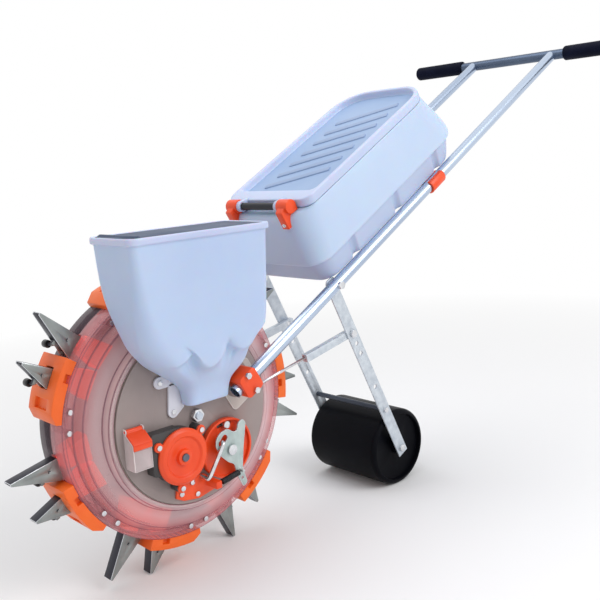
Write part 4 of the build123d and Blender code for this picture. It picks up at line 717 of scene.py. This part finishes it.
bpy.ops.object.select_all(action="DESELECT")
bpy.ops.mesh.primitive_circle_add(
    vertices=10, radius=SPRING_WIRE, location=(SPRING_COIL, 0, SPRING_LEAD), rotation=(math.pi / 2, 0, 0)
)
spring = bpy.context.object
spring.name = "lever_spring_wound"
settle(spring)
winding = spring.modifiers.new("winding", "SCREW")
winding.axis = "Z"
winding.angle = 2 * math.pi
winding.iterations = SPRING_TURNS
winding.screw_offset = coil_length / SPRING_TURNS
winding.steps = 18
winding.render_steps = 18
winding.use_merge_vertices = False
bpy.ops.object.modifier_apply(modifier=winding.name)
bpy.ops.object.mode_set(mode="EDIT")
for height, way in ((SPRING_LEAD, -1), (spring_length - SPRING_LEAD, 1)):
    pick(spring, "EDGE", lambda edge: (
        edge.is_boundary and way * (sum(v.co.z for v in edge.verts) / 2 - height) > -SPRING_REACH
    ))
    for run in ((-SPRING_COIL, 0, way * SPRING_BEND), (0, 0, way * (SPRING_LEAD - SPRING_BEND))):
        bpy.ops.mesh.extrude_region_move(TRANSFORM_OT_translate={"value": run})
    bpy.ops.mesh.edge_face_add()
bpy.ops.mesh.select_all(action="SELECT")
bpy.ops.mesh.normals_make_consistent(inside=False)
bpy.ops.object.mode_set(mode="OBJECT")
spring_turn = spring_way.to_track_quat("Z", "Y").to_matrix().to_4x4()
settle(spring, Matrix.Translation(spring_start) @ spring_turn)
bpy.ops.object.shade_smooth_by_angle(angle=math.radians(60))
dress(spring, spring_black)
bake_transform(spring)
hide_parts("lever_spring")


# Feed pocket and flap
# A small pocket of the same see-through plastic is moulded beside the meter and hands seed to it; an orange
# flap on a pin covers its sloping top.
POCKET_LIGHT = (0.88, 0.76, 0.77, 1)
POCKET_DARK = (0.72, 0.61, 0.60, 1)
# Painted highlight: the near-white edges of the clear pocket.
POCKET_EDGE_HIGHLIGHT = (0.92, 0.88, 0.86, 1)

pocket_clear = finish(
    "pocket_clear", POCKET_LIGHT, POCKET_DARK, rough=(0.14, 0.28), broad=12, fine=150, bump=0.00003
)
see_through(pocket_clear, facing=0.30, grazing=0.80)
# Painted highlight on the pocket's bevelled edges.
pocket_edge_highlight = finish(
    "pocket_edge_highlight", POCKET_EDGE_HIGHLIGHT, POCKET_LIGHT, rough=(0.14, 0.28), broad=12, fine=150, bump=0.00003
)
see_through(pocket_edge_highlight, facing=0.70, grazing=0.95)
rounded_copy("feed_pocket", 0.0009, pocket_clear, pocket_edge_highlight)
rounded_copy("pocket_flap", 0.0008, cover_orange)


# Hopper and its lid
# Blow moulded polyethylene, milky and a little blue: a flanged rim, soft corners that widen downwards, a
# scalloped break where the near face turns in to the neck, and two ears for screws. A flat grey lid lies
# inside the rim.
HOPPER_LIGHT = (0.560, 0.635, 0.840, 1)
HOPPER_DARK = (0.490, 0.570, 0.785, 1)
EAR_LIGHT = (0.740, 0.740, 0.800, 1)
EAR_DARK = (0.640, 0.640, 0.710, 1)
LID_LIGHT = (0.105, 0.130, 0.195, 1)
LID_DARK = (0.070, 0.092, 0.145, 1)
HOPPER_WALL = 0.0025
HOPPER_LIFT = 0.0012
HOPPER_CORNER = 0.003
HOPPER_COLUMNS = 31
END_INSET = 0.002
BREAK_LOW = 0.090
BREAK_HIGH = 0.109
BREAK_LEVEL = 0.104
BREAK_DEPTH = 0.02
BREAK_LEAN = 0.45
LOBES_AND_VALLEYS = (
    (-0.078, 0.103),
    (-0.040, 0.118),
    (-0.013, 0.092),
    (0.026, 0.121),
    (0.054, 0.106),
    (0.093, 0.132),
)
HOPPER_BODY = (
    (0.0240, -0.0280, 0.0500, -0.1010, -0.0770, (0.014, 0.004, 0.006, 0.004)),
    (0.0480, -0.0290, 0.0505, -0.1050, -0.0770, (0.018, 0.005, 0.007, 0.004)),
    (0.0620, -0.0400, 0.0580, -0.1120, -0.0770, (0.022, 0.006, 0.012, 0.005)),
    (0.0800, -0.0650, 0.0820, -0.1230, -0.0770, (0.028, 0.007, 0.018, 0.006)),
    (0.0970, -0.0880, 0.0960, -0.1345, -0.0770, (0.036, 0.008, 0.026, 0.006)),
    (0.1030, -0.0945, 0.1005, -0.1440, -0.0770, (0.040, 0.008, 0.026, 0.006)),
    (0.1075, -0.0985, 0.1030, -0.1464, -0.0770, (0.042, 0.008, 0.026, 0.006)),
    (0.1300, -0.1170, 0.1060, -0.1466, -0.0770, (0.036, 0.008, 0.020, 0.006)),
    (0.1500, -0.1235, 0.1080, -0.1468, -0.0740, (0.030, 0.010, 0.017, 0.008)),
    (0.1750, -0.1280, 0.1095, -0.1470, -0.0600, (0.024, 0.012, 0.014, 0.010)),
    (0.2140, -0.1315, 0.1105, -0.1480, -0.0410, (0.018, 0.014, 0.012, 0.012)),
    (0.2830, -0.1335, 0.1135, -0.1487, -0.0385, (0.011, 0.013, 0.010, 0.012)),
)
HOPPER_FLANGE = (
    (0.2862, -0.1338, 0.1145, -0.1489, -0.0382, (0.014, 0.014, 0.012, 0.012)),
    (0.2871, -0.1376, 0.1186, -0.1526, -0.0344, (0.015, 0.015, 0.013, 0.013)),
    (0.2889, -0.1380, 0.1190, -0.1530, -0.0340, (0.016, 0.016, 0.014, 0.014)),
    (0.2960, -0.1380, 0.1190, -0.1530, -0.0340, (0.016, 0.016, 0.014, 0.014)),
    (0.2975, -0.1366, 0.1176, -0.1516, -0.0354, (0.015, 0.015, 0.013, 0.013)),
)
EAR_RADIUS = 0.0095
EAR_SHEET = 0.0043
EAR_Y = -0.07485
EAR_EDGE = 0.0009
EARS = (
    ((-0.0630, 0.0670), (-0.0560, 0.0580), (-0.0340, 0.0760)),
    ((-0.0425, 0.0164), (-0.0470, 0.0200), (-0.0220, 0.0620)),
)


def ring_shell(name, rings, cuts):
    """Closed wall through outlines in turn, each (height, front, rear, near, far, corner radii).

    The radii are those of the front's near and far corners, then of the rear's.
    """
    bpy.ops.object.select_all(action="DESELECT")
    bpy.ops.mesh.primitive_plane_add(size=1)
    shell = bpy.context.object
    shell.name = name
    bpy.ops.object.mode_set(mode="EDIT")
    bpy.ops.mesh.delete(type="VERT")
    for height, front, rear, near, far, corners in rings:
        middle = ((front + rear) / 2, (near + far) / 2, height)
        bpy.ops.mesh.primitive_plane_add(size=1, location=middle)
        bpy.ops.transform.resize(value=(rear - front, far - near, 1), center_override=middle)
        spots = ((front, near), (front, far), (rear, near), (rear, far))
        for (x, y), corner in zip(spots, corners):
            pick(shell, "VERT", lambda v: (v.co - Vector((x, y, height))).length < HAIR)
            bpy.ops.mesh.bevel(offset=corner, segments=6, affect="VERTICES", clamp_overlap=False)
        pick(shell, "FACE", lambda face: True)
        bpy.ops.mesh.delete(type="ONLY_FACE")
        pick(shell, "EDGE", lambda edge: (
            all(abs(v.co.z - height) < HAIR for v in edge.verts)
            and any(all(abs(v.co.y - side) < HAIR for v in edge.verts) for side in (near, far))
        ))
        bpy.ops.mesh.subdivide(number_cuts=cuts)
    for lower, upper in zip(rings, rings[1:]):
        pick(shell, "VERT", lambda v: min(abs(v.co.z - lower[0]), abs(v.co.z - upper[0])) < HAIR)
        bpy.ops.mesh.bridge_edge_loops()
    for end in (rings[0], rings[-1]):
        pick(shell, "VERT", lambda v: abs(v.co.z - end[0]) < HAIR)
        bpy.ops.mesh.edge_face_add()
        bpy.ops.mesh.inset(thickness=END_INSET)
    bpy.ops.mesh.select_all(action="SELECT")
    bpy.ops.mesh.normals_make_consistent(inside=False)
    bpy.ops.object.mode_set(mode="OBJECT")
    return shell


def smoothed(piece, levels):
    """Round a piece's whole form, as a blow moulding is."""
    only(piece)
    soft = piece.modifiers.new("soft_form", "SUBSURF")
    soft.levels = levels
    soft.render_levels = levels
    bpy.ops.object.modifier_apply(modifier=soft.name)
    bpy.ops.object.shade_smooth()


def break_height(x):
    """Level of the scalloped break: round lobes that hang down, with pointed valleys between them."""
    level = LOBES_AND_VALLEYS[0][1]
    for place, (left, right) in enumerate(zip(LOBES_AND_VALLEYS, LOBES_AND_VALLEYS[1:])):
        if left[0] <= x:
            lobe, valley = (left, right) if place % 2 == 0 else (right, left)
            share = min(abs(x - lobe[0]) / abs(valley[0] - lobe[0]), 1)
            level = lobe[1] + (valley[1] - lobe[1]) * share * share
    return level


inner_rings = []
for height, front, rear, near, far, corners in reversed(HOPPER_BODY):
    tight = [max(corner - HOPPER_WALL, HOPPER_CORNER) for corner in corners]
    inside = (front + HOPPER_WALL, rear - HOPPER_WALL, near + HOPPER_WALL, far - HOPPER_WALL, tight)
    if not inner_rings:
        inner_rings.append((HOPPER_FLANGE[-1][0] - HOPPER_LIFT, *inside))
    inner_rings.append((height + HOPPER_LIFT, *inside))
hopper = ring_shell("hopper_moulded", [*HOPPER_BODY, *HOPPER_FLANGE, *inner_rings], HOPPER_COLUMNS)
only(hopper)
bpy.ops.object.mode_set(mode="EDIT")
for height, _, _, near, _, _ in [*HOPPER_BODY, *inner_rings]:
    if BREAK_LOW < height < BREAK_HIGH:
        cage = bmesh.from_edit_mesh(hopper.data)
        behind = near + BREAK_DEPTH
        ring = [v.co.x for v in cage.verts if abs(v.co.z - height) < HAIR and v.co.y < behind]
        for column in sorted({round(x, 5) for x in ring}):
            pick(hopper, "VERT", lambda v: (
                abs(v.co.x - column) < STRAIGHT and abs(v.co.z - height) < HAIR and v.co.y < behind
            ))
            rise = break_height(column) - BREAK_LEVEL
            bpy.ops.transform.translate(value=(0, BREAK_LEAN * max(rise, 0), rise))
bpy.ops.object.mode_set(mode="OBJECT")
smoothed(hopper, 2)


def lug(name, radius, width, place, low, high):
    """Round lug across the machine, drawn over to a block between two corners, with its edges broken."""
    bpy.ops.object.select_all(action="DESELECT")
    bpy.ops.mesh.primitive_cylinder_add(
        vertices=48, radius=radius, depth=width, location=place, rotation=(math.pi / 2, 0, 0)
    )
    piece = bpy.context.object
    piece.name = name
    settle(piece)
    bpy.ops.object.mode_set(mode="EDIT")
    middle = (Vector(low) + Vector(high)) / 2
    bpy.ops.mesh.primitive_cube_add(size=1, location=middle)
    bpy.ops.transform.resize(value=Vector(high) - Vector(low), center_override=middle)
    bpy.ops.mesh.select_all(action="SELECT")
    bpy.ops.mesh.convex_hull()
    bpy.ops.mesh.dissolve_limited(angle_limit=math.radians(1))
    bpy.ops.object.mode_set(mode="OBJECT")
    break_edges(piece, EAR_EDGE, segments=3)
    return piece


hopper_poly = finish(
    "hopper_poly", HOPPER_LIGHT, HOPPER_DARK, rough=(0.34, 0.48), broad=5, fine=160, bump=0.00006
)
plain(hopper_poly, subsurface_weight=0.35, subsurface_scale=0.02)
ear_poly = finish("ear_poly", EAR_LIGHT, EAR_DARK, rough=(0.34, 0.48), broad=20, fine=160, bump=0.00004)
dress(hopper, hopper_poly)
for (ear_x, ear_z), (low_x, low_z), (high_x, high_z) in EARS:
    low = (low_x, EAR_Y - EAR_SHEET / 2, low_z)
    high = (high_x, EAR_Y + EAR_SHEET / 2, high_z)
    ear = lug("hopper_ear", EAR_RADIUS, EAR_SHEET, (ear_x, EAR_Y, ear_z), low, high)
    dress(ear, ear_poly)
    join(hopper, ear)
settle(hopper, Matrix.Translation(axle_place))
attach(hopper, "frame")
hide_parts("hopper")
grey_lid = finish("grey_lid", LID_LIGHT, LID_DARK, rough=(0.44, 0.60), broad=12, fine=200, bump=0.00005)
plain(grey_lid, specular_ior_level=0.08)
rounded_copy("hopper_lid", 0.0008, grey_lid)


# Handle tubes, handlebar, grips and clamps
# Two straight zinc plated tubes, with faint streaks drawn along them, run from the drum up to a crossbar of
# darker slate steel. Black rubber sleeves cover the bar's ends and an orange block clamps the foot of each
# tube.
TUBE_LIGHT = (0.56, 0.65, 0.79, 1)
TUBE_DARK = (0.40, 0.48, 0.62, 1)
BAR_LIGHT = (0.112, 0.148, 0.215, 1)
BAR_DARK = (0.070, 0.096, 0.150, 1)
RUBBER_LIGHT = (0.0040, 0.0060, 0.0200, 1)
RUBBER_DARK = (0.0020, 0.0030, 0.0110, 1)

tube_zinc = finish(
    "tube_zinc", TUBE_LIGHT, TUBE_DARK, rough=(0.20, 0.32), broad=40, fine=300, bump=0.000002,
    stretch=(14, 1, 1), turn=-TUBE_SLOPE
)
plain(tube_zinc, metallic=0.95)
bar_slate = finish(
    "bar_slate", BAR_LIGHT, BAR_DARK, rough=(0.30, 0.42), broad=40, fine=300, bump=0.000004,
    stretch=(1, 14, 1)
)
plain(bar_slate, metallic=0.85)
coat(tube_zinc, "near_handle_tube", "far_handle_tube")
coat(bar_slate, "handlebar")
grip_rubber = finish(
    "grip_rubber", RUBBER_LIGHT, RUBBER_DARK, rough=(0.45, 0.62), broad=30, fine=500, bump=0.00008
)
plain(grip_rubber, specular_ior_level=0.06)
rounded_copy("grips", 0.0025, grip_rubber)
rounded_copy("tube_clamps", 0.0010, cover_orange, corner=0.005)
rounded_copy("frame_bolts", 0.0005, bright)


# Struts, stays, tie rod and press roller
# Flat galvanised strips with a row of holes reach down from the tubes to the roller's axle; square stays and
# thin rods brace them and a dark rod ties them together. The roller is a plain drum of black plastic with a
# satin skin.
STRUT_LIGHT = (0.66, 0.71, 0.76, 1)
STRUT_DARK = (0.50, 0.55, 0.61, 1)
ROLLER_LIGHT = (0.0030, 0.0034, 0.0060, 1)
ROLLER_DARK = (0.0014, 0.0016, 0.0030, 1)
ROD_SLATE = (0.060, 0.070, 0.095, 1)
ROD_COAL = (0.030, 0.036, 0.052, 1)
WIRE_SKIN = -0.0011

galvanised = finish(
    "galvanised", STRUT_LIGHT, STRUT_DARK, rough=(0.34, 0.52), broad=75, fine=420, bump=0.00004
)
plain(galvanised, metallic=0.6)
rounded_copy("near_strut", 0.0006, galvanised)
rounded_copy("far_strut", 0.0006, galvanised)
rounded_copy("stay_tubes", 0.0008, galvanised)
coat(bright, "roller_axle")
dark_rod = finish(
    "dark_rod", ROD_SLATE, ROD_COAL, rough=(0.30, 0.44), broad=60, fine=400, bump=0.000004,
    stretch=(1, 10, 1)
)
plain(dark_rod, metallic=0.6)
coat(dark_rod, "tie_rod")
swell(rounded_copy("stay_rods", 0.0003, bright), WIRE_SKIN)
roller_black = finish(
    "roller_black", ROLLER_LIGHT, ROLLER_DARK, rough=(0.34, 0.50), broad=9, fine=160, bump=0.00006
)
plain(roller_black, specular_ior_level=0.06)
rounded_copy("roller", 0.0015, roller_black)


# Tank, its hinge and clips
# A larger polyethylene moulding sits between the tubes: a lower band pinched by grooves, under a body that
# overhangs it and leans back in front to a narrow deck. Orange brackets screwed on the front wall hold a
# black rod, and clips hold the tank to the tubes.
TANK_LIGHT = (0.585, 0.670, 0.850, 1)
TANK_DARK = (0.530, 0.615, 0.805, 1)
ROD_LIGHT = (0.014, 0.016, 0.024, 1)
ROD_DARK = (0.007, 0.008, 0.012, 1)
TANK_WALL = 0.003
TANK_LIFT = 0.0004
TANK_COLUMNS = 3
BAND_WALL = 0.012
BAND_TOP = 0.0505
BAND_OUTSIDE = 0.1
GROOVE_DEPTH = 0.008
GROOVE_HALF = 0.011
GROOVES = (0.356, 0.497, 0.638)
GROOVE_CUTS = (-1.25, -1, -0.5, 0, 0.5, 1, 1.25)
GROOVE_SHARES = ((-0.5, 0.8), (0, 1.0), (0.5, 0.8))
DECK_FRONT = 0.2880
DECK_REAR = 0.323
DECK_LEVELS = (0.1462, 0.1494)
DECK_CORNERS = (0.030, 0.002)
DECK_GAP = 0.0012
HINGE_PLACE = (0.286, 0.1625)
BRACKET_Y = 0.0685
BRACKET_FOOT = (0.2650, 0.1290)
FOOT_WIDTH = 0.016
FOOT_SHEET = 0.008
FOOT_RADIUS = 0.008
BARREL_RADIUS = 0.0124
BARREL_WIDTH = 0.027
BARREL_SEAT = (0.002, 0.011)
SCREW_RADIUS = 0.0038
SCREW_HEAD = 0.004
SCREW_DOME = 0.0014
SCREW_RISE = 0.008
# Painted shade: the lower band is a darker copy of the tank's plastic, for the shade under the overhang.
BAND_SHADE_LIGHT = (0.500, 0.575, 0.755, 1)
BAND_SHADE_DARK = (0.440, 0.515, 0.700, 1)
TANK_RINGS = (
    (0.0110, 0.2745, 0.7120, 0.1022, 0.030, 0.055),
    (0.0130, 0.2735, 0.7150, 0.1034, 0.031, 0.056),
    (0.0470, 0.2690, 0.7330, 0.1082, 0.036, 0.064),
    (0.0500, 0.2680, 0.7345, 0.1088, 0.038, 0.065),
    (0.0522, 0.2590, 0.7380, 0.1152, 0.040, 0.068),
    (0.0560, 0.2582, 0.7385, 0.1160, 0.042, 0.068),
    (0.0800, 0.2610, 0.7345, 0.1150, 0.046, 0.068),
    (0.1250, 0.2670, 0.7110, 0.1112, 0.050, 0.066),
    (0.1420, 0.2720, 0.7035, 0.1098, 0.050, 0.065),
    (0.1490, 0.2790, 0.7002, 0.1086, 0.046, 0.064),
    (0.1500, 0.2860, 0.6992, 0.1080, 0.040, 0.062),
)


def tank_ring(height, front, rear, half, front_corner, rear_corner):
    """Outline for ring_shell of a moulding whose two sides are alike."""
    return (height, front, rear, -half, half, (front_corner, front_corner, rear_corner, rear_corner))


def inner_level(height):
    """Level of the inner wall beside an outline: just under it at the rim, a wall above it at the floor."""
    if height == TANK_RINGS[-1][0]:
        return height - 2 * TANK_LIFT
    if height == TANK_RINGS[1][0]:
        return height + TANK_LIFT + TANK_WALL
    return height + TANK_LIFT


def paint(piece, slot, wanted):
    """Give the faces that pass a test the material of a slot."""
    only(piece)
    bpy.ops.object.mode_set(mode="EDIT")
    pick(piece, "FACE", wanted)
    piece.active_material_index = slot
    bpy.ops.object.material_slot_assign()
    bpy.ops.object.mode_set(mode="OBJECT")


tank_outer = [tank_ring(*ring) for ring in TANK_RINGS]
tank_inner = []
for height, front, rear, half, front_corner, rear_corner in reversed(TANK_RINGS[1:]):
    side = BAND_WALL if height < BAND_TOP else TANK_WALL
    tank_inner.append(tank_ring(
        inner_level(height), front + TANK_WALL, rear - TANK_WALL, half - side,
        front_corner - TANK_WALL, rear_corner - TANK_WALL
    ))
tank = ring_shell("tank_moulded", tank_outer + tank_inner, TANK_COLUMNS)
only(tank)
bpy.ops.object.mode_set(mode="EDIT")
for groove in GROOVES:
    for step in GROOVE_CUTS:
        bpy.ops.mesh.select_all(action="SELECT")
        bpy.ops.mesh.bisect(plane_co=(groove + step * GROOVE_HALF, 0, 0), plane_no=(1, 0, 0))
    for side in (-1, 1):
        for step, share in GROOVE_SHARES:
            pick(tank, "VERT", lambda v: (
                abs(v.co.x - groove - step * GROOVE_HALF) < HAIR
                and v.co.z < BAND_TOP
                and side * v.co.y > BAND_OUTSIDE
            ))
            bpy.ops.transform.translate(value=(0, -side * share * GROOVE_DEPTH, 0))
bpy.ops.mesh.select_all(action="SELECT")
bpy.ops.mesh.normals_make_consistent(inside=False)
bpy.ops.object.mode_set(mode="OBJECT")
smoothed(tank, 2)
deck_half = TANK_RINGS[-1][3] - DECK_GAP
deck = ring_shell("tank_deck", [
    tank_ring(level, DECK_FRONT, DECK_REAR, deck_half, *DECK_CORNERS) for level in DECK_LEVELS
], TANK_COLUMNS)
tank_poly = finish("tank_poly", TANK_LIGHT, TANK_DARK, rough=(0.34, 0.48), broad=4, fine=160, bump=0.00006)
plain(tank_poly, subsurface_weight=0.35, subsurface_scale=0.02)
# Painted shade for the band under the overhang.
band_painted_shade = finish("band_painted_shade", BAND_SHADE_LIGHT, BAND_SHADE_DARK, rough=(0.34, 0.48), broad=4, fine=160, bump=0.00006)
plain(band_painted_shade, subsurface_weight=0.35, subsurface_scale=0.02)
dress(tank, tank_poly, band_painted_shade)
dress(deck, tank_poly)
# Faces below the band's top take the painted shade.
paint(tank, 1, lambda face: face.calc_center_median().z < BAND_TOP)
join(tank, deck)
settle(tank, tube_place)
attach(tank, "frame")
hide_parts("tank")
hinge_black = finish(
    "hinge_black", ROD_LIGHT, ROD_DARK, rough=(0.32, 0.48), broad=40, fine=400, bump=0.00003,
    stretch=(1, 10, 1)
)
plain(hinge_black, specular_ior_level=0.3)
coat(hinge_black, "hinge_rod")
brackets = []
for side in (-1, 1):
    middle = side * BRACKET_Y
    axis = (HINGE_PLACE[0], middle, HINGE_PLACE[1])
    foot = lug(
        "bracket_foot", FOOT_RADIUS, FOOT_WIDTH, axis,
        low=(BRACKET_FOOT[0], middle - FOOT_WIDTH / 2, BRACKET_FOOT[1]),
        high=(BRACKET_FOOT[0] + FOOT_SHEET, middle + FOOT_WIDTH / 2, HINGE_PLACE[1])
    )
    barrel = lug(
        "bracket", BARREL_RADIUS, BARREL_WIDTH, axis,
        low=(HINGE_PLACE[0] + BARREL_SEAT[0], middle - BARREL_WIDTH / 2, TANK_RINGS[-1][0]),
        high=(HINGE_PLACE[0] + BARREL_SEAT[1], middle + BARREL_WIDTH / 2, HINGE_PLACE[1])
    )
    bpy.ops.object.select_all(action="DESELECT")
    bpy.ops.mesh.primitive_cylinder_add(
        vertices=32, radius=SCREW_RADIUS, depth=SCREW_HEAD, rotation=(0, math.pi / 2, 0),
        location=(BRACKET_FOOT[0], middle, BRACKET_FOOT[1] + SCREW_RISE)
    )
    head = bpy.context.object
    settle(head)
    break_edges(head, SCREW_DOME, segments=4)
    dress(foot, cover_orange)
    dress(barrel, cover_orange)
    dress(head, bright)
    brackets += [barrel, foot, head]
join(*brackets)
hinge = brackets[0]
hinge.name = "hinge_brackets_moulded"
settle(hinge, tube_place)
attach(hinge, "frame")
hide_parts("hinge_brackets")
rounded_copy("tube_clips", 0.0010, cover_orange)


# Tank lid
# A shallow tray of the same polyethylene: a raised rim around a sunken panel that is stiffened by slanting
# ribs, with two lugs in front that turn on the black rod.
BORDER_LIGHT = (0.560, 0.640, 0.840, 1)
BORDER_DARK = (0.490, 0.570, 0.780, 1)
PANEL_LIGHT = (0.340, 0.465, 0.685, 1)
PANEL_DARK = (0.275, 0.395, 0.620, 1)
# Painted shade: the ribs are darker than the panel, for the shade at their sides.
RIB_SHADE_LIGHT = (0.300, 0.400, 0.600, 1)
RIB_SHADE_DARK = (0.250, 0.345, 0.540, 1)
LID_RINGS = (
    (0.1504, 0.3012, 0.6990, 0.1080, 0.021, 0.063),
    (0.1512, 0.3004, 0.6998, 0.1088, 0.022, 0.064),
    (0.1655, 0.3004, 0.6998, 0.1088, 0.022, 0.064),
    (0.1671, 0.3020, 0.6982, 0.1072, 0.021, 0.063),
    (0.1672, 0.3290, 0.6932, 0.1022, 0.016, 0.058),
    (0.1656, 0.3315, 0.6910, 0.1000, 0.014, 0.056),
    (0.1552, 0.3370, 0.6898, 0.0988, 0.013, 0.055),
    (0.1535, 0.3410, 0.6878, 0.0968, 0.011, 0.053),
)
PANEL_LEVELS = (0.1530, 0.1556)
RIBS = 7
RIB_FIRST = 0.390
RIB_PITCH = 0.038
RIB_SIZE = (0.014, 0.136, 0.005)
RIB_TURN = math.radians(25)
RIB_EDGE = 0.0024
HINGE_BORE = 0.0066
LUG_RADIUS = 0.010
LUG_WIDTH = 0.009
LUG_Y = 0.0502
LUG_LOW = (0.3008, 0.1545)
LUG_HIGH = (0.3080, 0.1668)

lid_poly = finish("lid_poly", BORDER_LIGHT, BORDER_DARK, rough=(0.34, 0.50), broad=6, fine=170, bump=0.00006)
plain(lid_poly, subsurface_weight=0.25, subsurface_scale=0.015)
panel_poly = finish(
    "panel_poly", PANEL_LIGHT, PANEL_DARK, rough=(0.38, 0.54), broad=6, fine=170, bump=0.00006
)
# Painted shade on the ribs.
rib_painted_shade = finish("rib_painted_shade", RIB_SHADE_LIGHT, RIB_SHADE_DARK, rough=(0.38, 0.54), broad=6, fine=170, bump=0.00004)
lid = ring_shell("tank_lid_moulded", [tank_ring(*ring) for ring in LID_RINGS], TANK_COLUMNS)
smoothed(lid, 2)
dress(lid, lid_poly, panel_poly)
paint(lid, 1, lambda face: (
    PANEL_LEVELS[0] < face.calc_center_median().z < PANEL_LEVELS[1] and face.normal.z > 0.5
))
for number in range(RIBS):
    rib = block(RIB_SIZE, (RIB_FIRST + number * RIB_PITCH, 0, LID_RINGS[-1][0]), RIB_TURN)
    break_edges(rib, RIB_EDGE, segments=4)
    dress(rib, rib_painted_shade)
    join(lid, rib)
for side in (-1, 1):
    middle = side * LUG_Y
    axis = (HINGE_PLACE[0], middle, HINGE_PLACE[1])
    ear = lug(
        "lid_lug", LUG_RADIUS, LUG_WIDTH, axis,
        low=(LUG_LOW[0], middle - LUG_WIDTH / 2, LUG_LOW[1]),
        high=(LUG_HIGH[0], middle + LUG_WIDTH / 2, LUG_HIGH[1])
    )
    bpy.ops.mesh.primitive_cylinder_add(
        vertices=48, radius=HINGE_BORE, depth=3 * LUG_WIDTH, location=axis, rotation=(math.pi / 2, 0, 0)
    )
    drill = bpy.context.object
    only(ear)
    bore = ear.modifiers.new("bore", "BOOLEAN")
    bore.operation = "DIFFERENCE"
    bore.object = drill
    bpy.ops.object.modifier_apply(modifier=bore.name)
    bpy.data.objects.remove(drill)
    dress(ear, lid_poly)
    join(lid, ear)
settle(lid, tube_place)
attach(lid, "tank_lid")
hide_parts("tank_lid")
